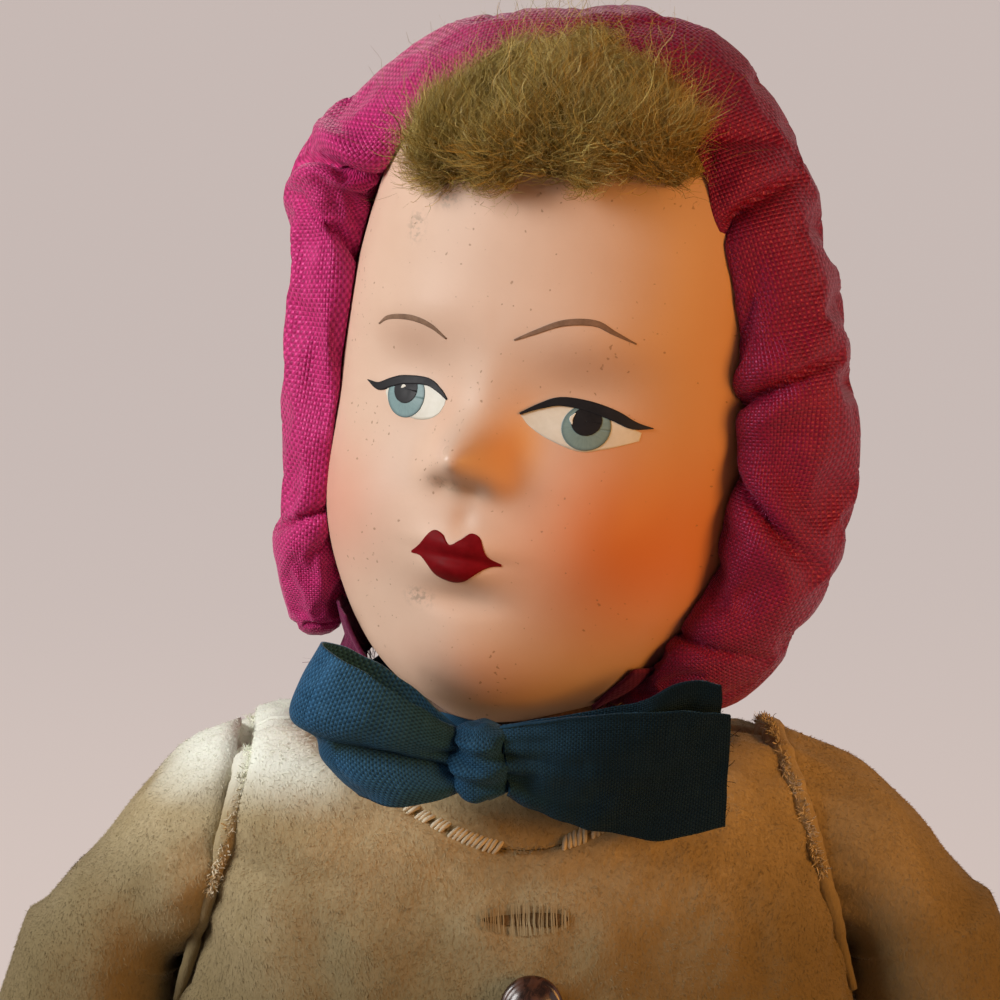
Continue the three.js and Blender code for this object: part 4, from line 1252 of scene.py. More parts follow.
def faceMaterial():
    # painted mask on face coordinates: peach with blush, painted shade over the lids, under the nose and
    # under the lower lip, painted warm light down the doll's left side of the face and nose, brown specks and
    # grey scuffs
    material, tree, shader = newMaterial("facePaint", 0.55, 0.32, coat=0.03)
    x, z, _ = split(clothPlace(tree))
    place3 = joinXyz(x, 0.0, z)
    uneven = useGroup(softMottle, Place=place3, Size=18.0, Contrast=1.7)["Mask"]
    colour = mixed(uneven, (0.7, 0.475, 0.35), (0.77, 0.55, 0.42))

    def spot(atX, atZ, wide, tall, power=1.0):
        across = over(minus(x, atX), wide)
        along = over(minus(z, atZ), tall)
        far = calc("SQRT", plus(times(across, across), times(along, along)))
        return ramp(far, 1.0, 0.0, 0.0, power)

    # painted light among the spots: the first, the doll's left cheek, is blush made wider and more orange
    # than the other cheek as painted warm light; the third is painted warm light down the doll's left side of
    # the face; the two over the lids, the one under the nose and the one under the lower lip are painted
    # shade; the one on the doll's left side of the nose is painted warm light
    for *where, tint in (
            (24, -24, 25, 25, 0.92, (0.72, 0.19, 0.035)), (-24, -27, 17, 16, 0.5, (0.72, 0.25, 0.17)),
            (30, 2, 20, 44, 0.6, (0.7, 0.34, 0.11)), (2, -47, 17, 9, 0.3, (0.66, 0.3, 0.17)),
            (14, 0.5, 12, 5, 0.34, (0.5, 0.28, 0.18)), (-14, 0.0, 12, 5, 0.34, (0.5, 0.28, 0.18)),
            (-1.2, -19.4, 7.0, 3.4, 0.6, (0.36, 0.24, 0.15)), (5.5, -12, 6.0, 10, 0.8, (0.8, 0.34, 0.08)),
            (-6, -9, 4.5, 8, 0.25, (0.66, 0.33, 0.19)), (0, -36.4, 8, 2.6, 0.4, (0.46, 0.29, 0.19)),
            (-1, -23.4, 8, 4.5, 0.3, (0.5, 0.3, 0.2))):
        colour = mixed(spot(*where), colour, tint)
    wearAndPaintedLight = noise(place3, 0.9, 3.0, 0.65)
    for scuffed in ((-12, 21, 4.5, 2.6), (-16, 16, 2.5, 3.5), (-6, -37, 3.6, 2.4), (-3.5, -19.4, 4.6, 1.5)):
        scuff = times(spot(*scuffed), ramp(wearAndPaintedLight, 0.45, 0.62))
        colour = mixed(times(scuff, 0.55), colour, (0.21, 0.17, 0.13))
    specks = useGroup(dirtSpecks, Place=place3, Size=0.5, Amount=0.6)["Mask"]
    large = useGroup(dirtSpecks, Place=place3, Size=1.1, Amount=0.34)["Mask"]
    dirt = calc("MAXIMUM", times(specks, 0.55), times(large, 0.3))
    colour = mixed(dirt, colour, (0.26, 0.13, 0.06))
    feed(shader.inputs["Base Color"], colour)
    polished = spot(nose["at"][0] - 1.0, nose["at"][1] + 1.5, 4.5, 4.5)
    feed(shader.inputs["Roughness"], minus(ramp(uneven, 0.0, 1.0, 0.48, 0.6), times(polished, 0.3)))
    grain = noise(place3, 1.1, 3.0, 0.6)
    addBump(shader, minus(grain, times(dirt, 0.8)), 0.18, 0.12)
    return material


def makeHead():
    # the mask is the front half of the head's surface with its relief, the back half is lumpy muslin
    share, angle = grid(shares(214), np.linspace(-pi / 2, pi / 2, 230))
    p = headPoint(angle, share)
    inner = p - outwardNormals(p, np.zeros(3)) * skull["maskThickness"]
    mask = shellPiece("paintedFace", onHead(p), onHead(inner), faceMaterial(), p[..., [0, 2]])
    place(mask, "head", "face_paint", "face_mask")
    share, angle = grid(shares(70), np.linspace(pi / 2, 1.5 * pi, 90))
    p = headPoint(angle, share)
    p = p + np.array([0, 0.3, 0]) + (0.3 * lumps(p, 18, 81))[..., None] * outwardNormals(p, np.zeros(3))
    inner = p - outwardNormals(p, np.zeros(3)) * skull["maskThickness"]
    around = np.stack([(angle - pi) * skull["backDepth"], share * skull["height"]], -1)
    back = shellPiece("headBack", onHead(p), onHead(inner), plainMuslin, around)
    place(back, "head", "muslin", "head_back", "head_stuffing")


makeHead()
print("head made")


# Painted features

eyes = {
    "left": {
        "lash": [(5.0, -7.9), (7.6, -6.4), (10.3, -5.35), (14.1, -5.45), (17.7, -6.3), (20.4, -7.35),
                 (22.9, -7.5)],
        "lashWidth": [0.3, 0.85, 1.3, 1.5, 1.55, 1.15, 0.12],
        "top": [(5.3, -8.0), (7.6, -6.6), (10.3, -5.5), (14.1, -5.6), (17.7, -6.6), (20.4, -7.8),
                (21.6, -8.3)],
        "bottom": [(5.3, -8.2), (6.7, -9.5), (9.6, -10.9), (14.0, -12.0), (16.8, -11.4), (19.5, -10.4),
                   (21.5, -9.5)],
        "iris": (14.4, -8.5), "pupil": (14.3, -7.6), "glint": [(12.5, -8.3), (12.2, -7.5), (12.6, -6.7)],
        "brow": [(3.0, 2.5), (5.7, 4.0), (9.7, 6.0), (13.8, 6.6), (16.5, 5.6), (19.5, 4.4)],
        "browWidth": [0.25, 0.7, 0.95, 0.7, 0.2]},
    "right": {
        "lash": [(-21.4, -7.9), (-18.9, -8.3), (-16.6, -7.3), (-14.4, -6.5), (-10.5, -6.0), (-8.2, -6.7),
                 (-6.3, -7.8)],
        "lashWidth": [0.12, 1.1, 1.3, 1.3, 1.15, 0.8, 0.25],
        "top": [(-17.3, -8.5), (-16.4, -7.5), (-14.4, -6.6), (-10.5, -6.1), (-8.2, -6.9), (-6.5, -7.8)],
        "bottom": [(-17.3, -8.9), (-15.5, -11.0), (-11.8, -11.6), (-9.2, -11.3), (-7.3, -10.2), (-6.5, -8.6)],
        "iris": (-13.5, -8.5), "pupil": (-13.7, -7.7), "glint": [(-14.5, -7.7), (-14.2, -7.4), (-13.8, -7.3)],
        "brow": [(-20.5, 0.8), (-18.4, 2.2), (-14.2, 2.9), (-10.6, 2.4), (-7.6, 0.9)],
        "browWidth": [0.2, 0.6, 0.8, 0.7, 0.25]},
    "irisRadius": 3.3, "pupilRadius": 2.05,
}
lips = {
    "top": [(-7.6, -30.2), (-6.2, -28.8), (-4.4, -26.5), (-2.7, -26.6), (-1.2, -27.8), (0.2, -27.0),
            (1.6, -25.8), (3.1, -26.3), (4.5, -28.6), (6.5, -29.5)],
    "bottom": [(-7.6, -30.5), (-6.0, -30.6), (-4.6, -31.5), (-2.9, -32.9), (-0.5, -33.4), (1.4, -32.9),
               (2.9, -31.7), (4.2, -30.6), (5.4, -30.0), (6.5, -29.8)],
}


def irisMaterial():
    # rays from the pupil out, darker at the rim, on the disc's own radius and angle
    material, tree, shader = newMaterial("irisPaint", 0.5, 0.35, coat=0.04)
    radius, angle, _ = split(clothPlace(tree))
    rays = noise(joinXyz(times(radius, 1.5), times(angle, 5.0)), 2.0, 2.0)
    colour = mixed(rays, (0.15, 0.25, 0.26), (0.25, 0.38, 0.385))
    colour = mixed(ramp(radius, 0.84, 1.0, 0.0, 0.55), colour, (0.05, 0.09, 0.1))
    feed(shader.inputs["Base Color"], colour)
    feed(shader.inputs["Roughness"], ramp(rays, 0.0, 1.0, 0.45, 0.56))
    return material


lashPaint = paintMaterial("lashPaint", (0.006, 0.006, 0.008), (0.014, 0.014, 0.017), 0.5, 3.0, 0.0, 0.2)
eyeWhite = paintMaterial("eyeWhite", (0.66, 0.63, 0.53), (0.84, 0.82, 0.74), 0.52, 5.0, 0.03)
lipPaint = paintMaterial("lipPaint", (0.14, 0.002, 0.004), (0.23, 0.005, 0.009), 0.5, 4.0, 0.0, 0.06)
browPaint = paintMaterial("browPaint", (0.15, 0.085, 0.05), (0.3, 0.18, 0.115), 0.6, 2.0)
irisPaint = irisMaterial()


def paintPatch(name, x, z, lift, material, uv=None):
    # a patch of paint with a thin edge: the grid laid on the face, and its own skirt just under the surface
    spot = facePoint(x, z, lift)
    below = facePoint(x, z, -0.12)
    uv = np.stack([x, z], -1) if uv is None else uv
    return shellPiece(name, onHead(spot), onHead(below), material, uv)


def between(name, low, high, lift, material, rows=16, columns=72):
    # paint that fills the space between two curves given as points
    t = shares(columns)
    a, b = through(low, t), through(high, t)
    mix = shares(rows)[:, None, None]
    spot = a[None] + mix * (b - a)[None]
    return paintPatch(name, spot[..., 0], spot[..., 1], lift, material)


def stroke(name, line, widths, lift, material, columns=64):
    # a brush stroke: a line with a width that swells and thins
    t = shares(columns)
    middle, width = through(line, t), np.maximum(through(np.array(widths)[:, None], t)[:, 0], 0.03)
    along = unit(np.gradient(middle, axis=0))
    across = np.stack([-along[:, 1], along[:, 0]], -1)
    edge = np.linspace(-0.5, 0.5, 7)[:, None, None]
    spot = middle[None] + edge * across[None] * width[None, :, None]
    return paintPatch(name, spot[..., 0], spot[..., 1], lift, material)


def disc(name, centre, radius, lid, lift, material):
    # a round of paint cut straight along the eyelid above it
    reach, angle = grid(np.linspace(0.02, 1, 22), np.linspace(0, 2 * pi, 73))
    x = centre[0] + radius * reach * np.cos(angle)
    z = np.minimum(centre[1] + radius * reach * np.sin(angle), lid(x))
    return paintPatch(name, x, z, lift, material, np.stack([reach, angle], -1))


def makeEye(side):
    # thin layers of paint, each a little higher than the one under it
    shape = eyes[side]
    lidLine = through(shape["top"], shares(60))

    def lid(at):
        return np.interp(at, lidLine[:, 0], lidLine[:, 1])

    made = [
        between(side + "EyeWhite", shape["bottom"], shape["top"], 0.05, eyeWhite),
        disc(side + "Iris", shape["iris"], eyes["irisRadius"], lid, 0.10, irisPaint),
        disc(side + "Pupil", shape["pupil"], eyes["pupilRadius"], lid, 0.15, lashPaint),
        stroke(side + "Glint", shape["glint"], [0.1, 0.5, 0.12], 0.2, eyeWhite, 16),
        stroke(side + "LashLine", shape["lash"], shape["lashWidth"], 0.24, lashPaint, 90),
        stroke(side + "Brow", shape["brow"], shape["browWidth"], 0.08, browPaint),
    ]
    for piece in made:
        place(piece, "head", "face_paint")


makeEye("left")
makeEye("right")
place(between("lipsPaint", lips["bottom"], lips["top"], 0.1, lipPaint, 24, 90), "head", "face_paint")
print("face painted")


# Hood

hood = {
    "path": [(-31.5, -52.5), (-33.2, -46), (-34.7, -37.5), (-35.3, -24), (-35.6, -8), (-37.2, 8.5),
             (-38, 20.5), (-31.2, 28.8), (-21.5, 37.5), (-10, 42.5), (3, 44.5), (14, 42.5), (22.5, 35),
             (29.5, 23), (35.3, 9.5), (39.2, -3), (40.3, -15.5), (39, -28), (34.8, -39), (29, -47.5),
             (21.5, -53.5)],
    "half": [3.4, 4.6, 5.6, 5.9, 6.1, 6.4, 6.6, 6.3, 6.0, 5.8, 5.8, 5.8, 6.0, 6.3, 6.5, 6.6, 6.6, 6.4,
             5.6, 4.4, 2.2],
    "depth": [6.6, 9.6, 11, 12, 12.5, 12.5, 12.5, 12.3, 12, 12, 12, 12, 12, 11.8, 11.4, 11.2, 11.2, 11,
              10.2, 8.5, 4.6],
    "middleY": [-9, -8.5] + [-8.3] * 9 + [-8, -7.5, -6.6, -5.6, -5.2, -5.2, -5.6, -6.5, -8, -9],
    "tilt": radians(22), "power": 2.25, "rows": 300, "columns": 84, "length": 292.0, "girth": 60.0,
    "creases": [(0.318, 0.1, 4.2, 1.9, 0.6), (0.27, 0.5, 1.0, 2.4, -0.5), (0.60, 0.1, 1.4, 1.8, -0.4),
                (0.645, -0.1, 1.1, 1.6, 0.3), (0.735, 0.5, 2.0, 1.7, 0.35), (0.815, 0.4, 1.8, 1.9, -0.7),
                (0.12, 0.2, 0.9, 1.8, 0.4), (0.905, 0.3, 0.9, 1.8, 0.3)],
}


def pressOut(p, gap):
    # moves points inside the skull straight out from its upright axis to just outside it
    share = np.clip(skullShare(p[..., 2]), 0, 1)
    width, front, back = lookUp(skull["rows"], share)
    depth = np.where(p[..., 1] < 0, skull["faceDepth"] * front, skull["backDepth"] * back) + gap
    power = skull["power"]
    across = skull["halfWidth"] * width + gap
    inside = (np.abs(p[..., 0]) / across) ** power + (np.abs(p[..., 1]) / depth) ** power
    grow = np.where(inside < 1, np.maximum(inside, 0.2) ** (-1 / power), 1)
    grow = 1 + (grow - 1) * smoothStep(18, 26, np.abs(p[..., 0]))
    return p * np.stack([grow, grow, np.ones_like(grow)], -1)


def rollPoint(t, a):
    # an oval section carried along the rim's path, its front edge tipped in towards the face; a is 0 on the
    # outside and 90 degrees at the front edge
    centre = through(hood["path"], t)
    labels = ("half", "depth", "middleY")
    half, depth, middleY = (through(np.array(hood[label])[:, None], t)[..., 0] for label in labels)
    ahead, behind = np.minimum(t + 0.002, 1), np.maximum(t - 0.002, 0)
    way = unit(through(hood["path"], ahead) - through(hood["path"], behind))
    out = np.stack([-way[..., 1], 0 * t, way[..., 0]], -1)
    front = np.array([0, -1.0, 0])
    cosine, sine = cos(hood["tilt"]), sin(hood["tilt"])
    longWay, shortWay = front * cosine - out * sine, out * cosine + front * sine
    middle = np.stack([centre[..., 0], middleY, centre[..., 1]], -1)
    close = np.sqrt(np.clip(1 - (1 - np.minimum(np.minimum(t, 1 - t) / 0.016, 1)) ** 2, 0.01, 1))
    across = rounded(np.cos(a), hood["power"]) * half * close
    along = rounded(np.sin(a), hood["power"]) * depth * close
    return middle + shortWay * across[..., None] + longWay * along[..., None]


def dressRoll(p, t, a):
    # soft lumps, puckers along the sewn inner edges and the creases where the padding kinks
    length = hood["length"]
    n = gridNormals(p, True)
    n *= np.sign(np.mean(np.sum(n * (p - p.mean(1, keepdims=True)), -1)))
    swell = 0.55 * lumps(p, 27, 101) + 0.22 * lumps(p, 12, 102) + 0.05 * lumps(p, 4, 103)
    wander = 1.4 * lumps(p, 16, 104)
    sewn = bell(a, radians(262), 0.5)
    swell += sewn * (0.5 * np.cos(t * length / 6.0 * 2 * pi + wander) - 0.4)
    for at, side, deep, wide, slant in hood["creases"]:
        s = (t - at) * length - slant * 9 * (a - 1.1)
        reach = bell(a, 1.0 + side, 1.05)
        beside = 0.55 * deep * bell(np.abs(s), 2.6 * wide, 1.5 * wide)
        swell += reach * (beside - deep * bell(s, 0, 0.62 * wide))
    ends = smoothStep(0, 0.02, t) * smoothStep(1, 0.98, t)
    return p + n * (swell * ends)[..., None]


def settled(p, a, t):
    # cloth simulation of the filled roll: the sewn inner and rear edges are held, the satin is cut a little
    # large and blown up by its padding, so that it buckles between the seams; the broad swelling is then
    # taken back
    rows, columns = p.shape[:2]
    quads, _, _ = quadsOf(rows, columns, wrap=True)
    mesh = bpy.data.meshes.new("rollCloth")
    ends = [list(range(columns))[::-1], list(range((rows - 1) * columns, rows * columns))]
    mesh.from_pydata((p.reshape(-1, 3) * sewing["scale"]).tolist(), [], quads.tolist() + ends)
    cloth = newObject("rollCloth", mesh)
    held = smoothStep(150, 172, np.degrees(a)) * smoothStep(305, 283, np.degrees(a))
    held = np.maximum(held, smoothStep(0.02, 0.008, np.minimum(t, 1 - t)))
    pins = cloth.vertex_groups.new(name="held")
    levels = np.round(held.ravel() * 10).astype(int)
    for level in range(1, 11):
        pins.add(np.nonzero(levels == level)[0].tolist(), level / 10, "REPLACE")
    modifier = cloth.modifiers.new("cloth", "CLOTH")
    modifier.settings.vertex_group_mass = "held"
    for label, value in sewing["cloth"].items():
        setattr(modifier.settings, label, value)
    modifier.settings.effector_weights.gravity = 0
    modifier.point_cache.frame_end = sewing["frames"]
    scene = bpy.context.scene
    for moment in range(1, sewing["frames"] + 1):
        scene.frame_set(moment)
    seen = cloth.evaluated_get(bpy.context.evaluated_depsgraph_get()).data
    found = np.empty(rows * columns * 3)
    seen.vertices.foreach_get("co", found)
    scene.frame_set(1)
    bpy.data.objects.remove(cloth)
    found = found.reshape(p.shape) / sewing["scale"]
    moved = found - p
    broad = moved.copy()
    for _ in range(sewing["rounds"]):
        before, after = broad[np.r_[0, :rows - 1]], broad[np.r_[1:rows, rows - 1]]
        broad = (np.roll(broad, 1, 1) + np.roll(broad, -1, 1) + before + after) / 4
    found = p + moved - sewing["takenBack"] * broad
    print("roll settled, moved up to", round(float(np.linalg.norm(found - p, axis=-1).max()), 2), "mm")
    return found


sewing = {
    "scale": 0.05, "frames": 22, "rounds": 120, "takenBack": 0.85,
    "cloth": {"quality": 6, "mass": 0.3, "air_damping": 2.0, "tension_stiffness": 18.0,
              "compression_stiffness": 18.0, "shear_stiffness": 6.0, "bending_stiffness": 0.12,
              "bending_damping": 0.6, "shrink_min": -0.09, "use_pressure": True,
              "uniform_pressure_force": 0.12},
}


def makeRoll():
    rows, columns = hood["rows"], hood["columns"]
    t, a = grid(shares(rows), ringOf(columns))
    p = settled(dressRoll(rollPoint(t, a), t, a), a, t)
    p = pressOut(p, 0.35)
    uv = wrapUv(rows, columns, hood["length"], hood["girth"])
    roll = gridPiece("satinRoll", onHead(p), uv, hoodSatin, wrap=True, cap=True)
    place(roll, "head", "satin", "hood_roll")


makeRoll()


crown = {"low": 0.092, "rows": 150, "columns": 240, "from": radians(84), "to": radians(276), "over": 2.6,
         "thickness": 0.5, "gathers": 30}


def makeCrown():
    # the satin over the back of the head: the skull's own surface a little further out, gathered to the rim
    across = np.linspace(crown["from"], crown["to"], crown["columns"])
    share, angle = grid(np.linspace(crown["low"], 0.999, crown["rows"]), across)
    p = headPoint(angle, share, crown["over"])
    top = p[-1:]
    inward = np.linspace(0.8, 0.02, 10)[:, None, None]
    p = np.concatenate([p, np.concatenate([top[..., :2] * inward, top[..., 2:] + 0.9 * (1 - inward)], -1)])
    n = outwardNormals(p, np.zeros(3))
    turn = np.arctan2(p[..., 2] + 3, p[..., 0])
    near = np.exp(-np.maximum(p[..., 1] - 2, 0) / 14)
    swell = near * (0.85 * np.cos(crown["gathers"] * turn + 1.5 * lumps(p, 24, 111)) + 0.2)
    swell = swell + 0.45 * lumps(p, 26, 112) + 0.2 * lumps(p, 9, 113)
    swell += 0.55 * bell(p[..., 2], -43, 3) * np.cos(p[..., 0] * 1.1 + lumps(p, 9, 114))
    outer = p + n * swell[..., None]
    away = np.arccos(np.clip(unit(p)[..., 1], -1, 1)) * 42
    uv = np.stack([np.cos(turn) * away, np.sin(turn) * away], -1)
    cap = shellPiece("satinCrown", onHead(outer), onHead(outer - n * crown["thickness"]), hoodSatin, uv)
    place(cap, "head", "satin", "hood_crown")


makeCrown()


hem = {"columns": 260, "from": radians(58), "to": radians(312), "top": -44.8, "drop": 7.4, "thickness": 0.45,
       "threads": 520, "cheekThreads": 420, "cheek": (216, 256)}


def makeHem():
    # the hood's raw edge round the back of the jaw, wavy, with pulled threads
    dice = np.random.default_rng(121)
    t, angle = grid(shares(12), np.linspace(hem["from"], hem["to"], hem["columns"]))
    fray = 0.3 * np.sin(angle * 37) + 0.2 * np.sin(angle * 91)
    hang = bell(angle, radians(284), radians(17))  # the cheek's corner hangs straight down
    z = hem["top"] - t * (hem["drop"] + 0.6 * fray + 3.2 * hang)
    drawn = z + hang * (np.maximum(z, -48.5) - z)
    loose = 3.4 * bell(angle, radians(286), radians(26)) * (0.4 + 0.6 * t)
    p = headPoint(angle, skullShare(drawn), 1.3 + loose)
    p[..., 2] = z
    n = outwardNormals(p, np.array([0, 0, -45.0]))
    outer = p + n * (0.35 * np.sin(angle * 29 + 2 * t) * t + 0.2 * lumps(p, 6, 122))[..., None]
    uv = np.stack([angle * 30, z], -1)
    strip = shellPiece("hoodHem", onHead(outer), onHead(outer - n * hem["thickness"]), hemSatin, uv)
    place(strip, "head", "hood_hem", "hood_neck_edge")
    # pulled threads all round, and more of them at the right cheek
    pick = dice.integers(0, hem["columns"], hem["threads"])
    pick = np.concatenate([pick, dice.integers(*hem["cheek"], hem["cheekThreads"])])
    count = len(pick)
    start = outer[-1, pick] + n[-1, pick] * 0.1
    step = shares(6)[None, :, None]
    way = unit(n[-1, pick] * 0.35 + dice.normal(size=(count, 3)) * 0.45 + np.array([0, 0, -1.0]))
    bend = dice.normal(size=(count, 1, 3)) * 0.9
    longest = np.where(np.arange(count) < hem["threads"], 4.2, 6.4)[:, None, None]
    size = dice.uniform(1.2, longest, (count, 1, 1))
    paths = start[:, None] + way[:, None] * step * size + bend * step ** 2
    place(fibres("hemThreads", onHead(paths), 0.13, hemSatin, 0.6, 123), "head", "hood_hem")


makeHem()
print("hood made")


# Ribbon

bow = {
    "knot": (-7.4, -36.5, 143.0), "knotHalf": (4.3, 4.0, 6.0), "knotSides": 90, "thickness": 0.45,
    "loopKnot": [(-10.5, 147.6), (-10.6, 145.4), (-10.8, 143.2), (-10.6, 141.0), (-10.2, 138.6)],
    "loopEnd": [(-30.0, 161.0), (-33.0, 155.5), (-34.4, 150.4), (-30.6, 147.4), (-29.6, 143.6),
                (-24.4, 138.4)],
    "tailTop": [(-4.4, 148.4), (4.0, 149.2), (13, 149.8), (22, 149.6), (29.8, 148.4)],
    "tailBottom": [(-3.4, 138.2), (4.0, 134.0), (12.5, 131.2), (20, 129.6), (29.4, 130.8)],
    "layerTop": [(-4.0, 147.6), (6, 149.2), (15.8, 151.2), (22, 153.8), (28.4, 153.0)],
    "layerBottom": [(-3.6, 139.5), (5, 135), (13, 132.5), (20.5, 131), (28.8, 132)],
}


def ribbonPiece(name, p, width, length, node, flip=False):
    n = gridNormals(p)
    uv = np.stack(np.meshgrid(np.linspace(0, length, p.shape[1]), np.linspace(0, width, p.shape[0])), -1)
    inner = p + n * bow["thickness"] if flip else p - n * bow["thickness"]
    piece = shellPiece(name, p, inner, navyRibbon, uv)
    place(piece, "torso", "ribbon", node)


def pleats(v, t, seed):
    # folds that run out of the knot and die away along the ribbon
    wave = np.sin(v * 19 + seed) + 0.6 * np.sin(v * 31 + 2.3 * seed)
    return wave * 0.75 * np.exp(-t / 0.16) + 0.35 * np.sin(v * 9 + 1.7 * seed) * np.exp(-t / 0.45)


def makeLoop():
    # round a lens from the knot to the fold and back: the share out is the sine squared of half the turn
    v, turn = grid(shares(60), np.linspace(0.02, 2 * pi - 0.02, 190))
    share = np.sin(turn / 2) ** 2
    start, end = through(bow["loopKnot"], v), through(bow["loopEnd"], v)
    behind = smoothStep(pi * 0.85, pi * 1.35, turn)
    flatPlace = start + (end - start) * share[..., None]
    flatPlace[..., 1] += 1.6 * np.sin(pi * share) * (0.5 - v) - behind * (1 - share) * 0.5
    flatPlace[..., 0] += behind * 2.5 * share * (0.4 - v)
    opened = 5.6 * (0.55 + 0.45 * smoothStep(0.7, 0.0, v))
    y = bow["knot"][1] + 0.5 - 1.2 * share - opened * np.sin(turn) * (1 - 0.22 * behind) * share ** 0.35
    lobes = 1.6 * bell(v, 0.24, 0.2) + 1.8 * bell(v, 0.86, 0.16) - 2.4 * bell(v, 0.6, 0.1)
    y -= (1 - behind) * lobes * np.sin(pi * np.minimum(share * 1.1, 1)) ** 0.6
    shallow = (1.2 + 2.8 * smoothStep(0.15, 0.55, v)) * behind * np.sin(pi * share)
    y += pleats(v, share, 0.6) * (1 - 0.5 * behind) + shallow
    p = np.stack([flatPlace[..., 0], y, flatPlace[..., 1]], -1)
    p += 0.12 * lumps(p, 7, 131)[..., None]
    ribbonPiece("rightLoop", p, 25.0, 52.0, "ribbon_right_loop")


def makeTail(name, top, bottom, y0, y1, seed, node, lip=0.0):
    # a strip between its top and bottom edge, gathered at the knot, bellied between, frayed at its end
    v, t = grid(shares(60), shares(110))
    high, low = through(bow[top], t), through(bow[bottom], t)
    flatPlace = high + (low - high) * v[..., None]
    y = y0 + (y1 - y0) * t - 1.9 * np.sin(pi * t) * np.sin(pi * (0.15 + 0.75 * v)) + 2.4 * t * v
    y += pleats(v, t, seed) + 0.5 * np.sin(7 * t + 4 * v + seed) * t
    y -= lip * smoothStep(0.32, 0.08, v) * smoothStep(0.35, 0.6, t)
    p = np.stack([flatPlace[..., 0], y, flatPlace[..., 1]], -1)
    p += 0.1 * lumps(p, 7, 132)[..., None]
    ribbonPiece(name, p, 25.0, 36.0, node, flip=True)
    dice = np.random.default_rng(133 + int(seed * 10))
    count = 26
    at = dice.integers(0, 60, count)
    start = p[at, -1]
    way = unit(np.array([1.0, 0, 0]) + dice.normal(size=(count, 3)) * (0.35, 0.5, 0.6))
    step = shares(6)[None, :, None]
    reach = np.where(dice.random(count) < 0.15, dice.uniform(1.5, 3.0, count), dice.uniform(0.2, 0.7, count))
    bend = dice.normal(size=(count, 1, 3)) * 0.35 * step ** 2
    paths = start[:, None] + way[:, None] * step * reach[:, None, None] + bend
    place(fibres(name + "Fray", paths, 0.11, navyRibbon, 0.7, 134), "torso", "ribbon")


def makeKnot():
    # a lumpy ball drawn in at the waist, its folds running over it from side to side
    z, a = grid(np.linspace(-1, 1, 60)[1:-1], ringOf(bow["knotSides"]))
    ring = (1 - np.abs(z) ** 2.6) ** (1 / 2.6)
    folds = 1 + 0.12 * np.sin(z * 9 + 2.6 * np.cos(a) + 0.8) + 0.04 * np.sin(z * 17 + 2 * np.sin(a * 2))
    folds = folds + 0.07 * np.sin(a * 3 + z * 4)
    half = np.array(bow["knotHalf"])
    p = np.stack([ring * np.sin(a) * folds, -ring * np.cos(a) * folds, z + 0.03 * np.sin(a * 3)], -1) * half
    p = p + np.array(bow["knot"])
    uv = wrapUv(len(p), bow["knotSides"], 15.0, 26.0)
    knot = gridPiece("ribbonKnot", p, uv, navyRibbon, wrap=True, cap=True)
    place(knot, "torso", "ribbon", "ribbon_knot")


band = {"rows": 44, "columns": 240, "footHalf": (27.0, 20.5), "foot": 139.2, "ring": 19.2, "top": 144.6}


def makeBand():
    # the ribbon round the neck: a soft cone from an oval on the yoke up to the neck, with crossing wrinkles
    t, a = grid(shares(band["rows"]), ringOf(band["columns"]))
    wide, deep = band["footHalf"]
    foot = np.stack([wide * np.sin(a), -deep * np.cos(a), band["foot"] + 2.2 * np.sin(a) ** 2], -1)
    lean, side = sin(skull["lean"]), cos(skull["lean"])
    low = smoothStep(-0.9, 0.1, np.cos(a)) * smoothStep(-0.5, 0.3, np.sin(a))
    # room for the chin
    low = np.maximum(low, 1.15 * smoothStep(0.0, 0.4, np.cos(a)) * smoothStep(0.3, -0.2, np.sin(a)))
    # up under the hem on one side
    tucked = smoothStep(0.2, 0.8, -np.sin(a)) * smoothStep(0.35, -0.05, np.cos(a))
    ring = band["ring"] + 2.0 * tucked
    top = band["top"] - band["ring"] * lean * np.sin(a) - 1.8 * low + 1.5 * tucked
    collar = np.stack([0.9 + ring * side * np.sin(a), -ring * np.cos(a), top], -1)
    p = foot + (collar - foot) * t[..., None]
    core = np.array([0, 0, 125.0])
    n = outwardNormals(p, core, True)
    wave = 0.28 * np.sin(9 * a + 6 * t) + 0.32 * np.sin(4 * a - 9 * t) + 0.16 * np.sin(23 * a + 4 * t)
    p = p + n * ((0.8 + 1.5 * np.sin(pi * t)) * (1 - 0.6 * low) + wave * (1 - 0.3 * low))[..., None]
    inner = p - outwardNormals(p, core, True) * bow["thickness"]
    uv = wrapUv(2 * band["rows"] + 1, band["columns"], 50.0, 150.0)
    ribbon = gridPiece("neckBand", np.concatenate([inner[::-1], p]), uv, navyRibbon, wrap=True, loop=True)
    place(ribbon, "torso", "ribbon", "ribbon_band")


makeKnot()
makeLoop()
makeTail("leftTail", "tailTop", "tailBottom", -37.8, -33.6, 0.4, "ribbon_left_tail")
makeTail("backTail", "layerTop", "layerBottom", -35.0, -31.4, 1.9, "ribbon_back_tail", 2.0)
makeBand()
print("bow made")


# Hair

hair = {
    "strands": 10500, "strays": 520, "steps": 9, "width": 0.1, "length": (5.0, 10.5),
    "strayLength": (9.0, 17.0), "halfWidth": 22.5, "shift": 1.4,
    "profile": [(0.0, -33.0), (0.06, -35.6), (0.16, -37.4), (0.34, -37.2), (0.52, -34.6), (0.7, -29.2),
                (0.86, -22.0), (1.0, -12.0)],
}


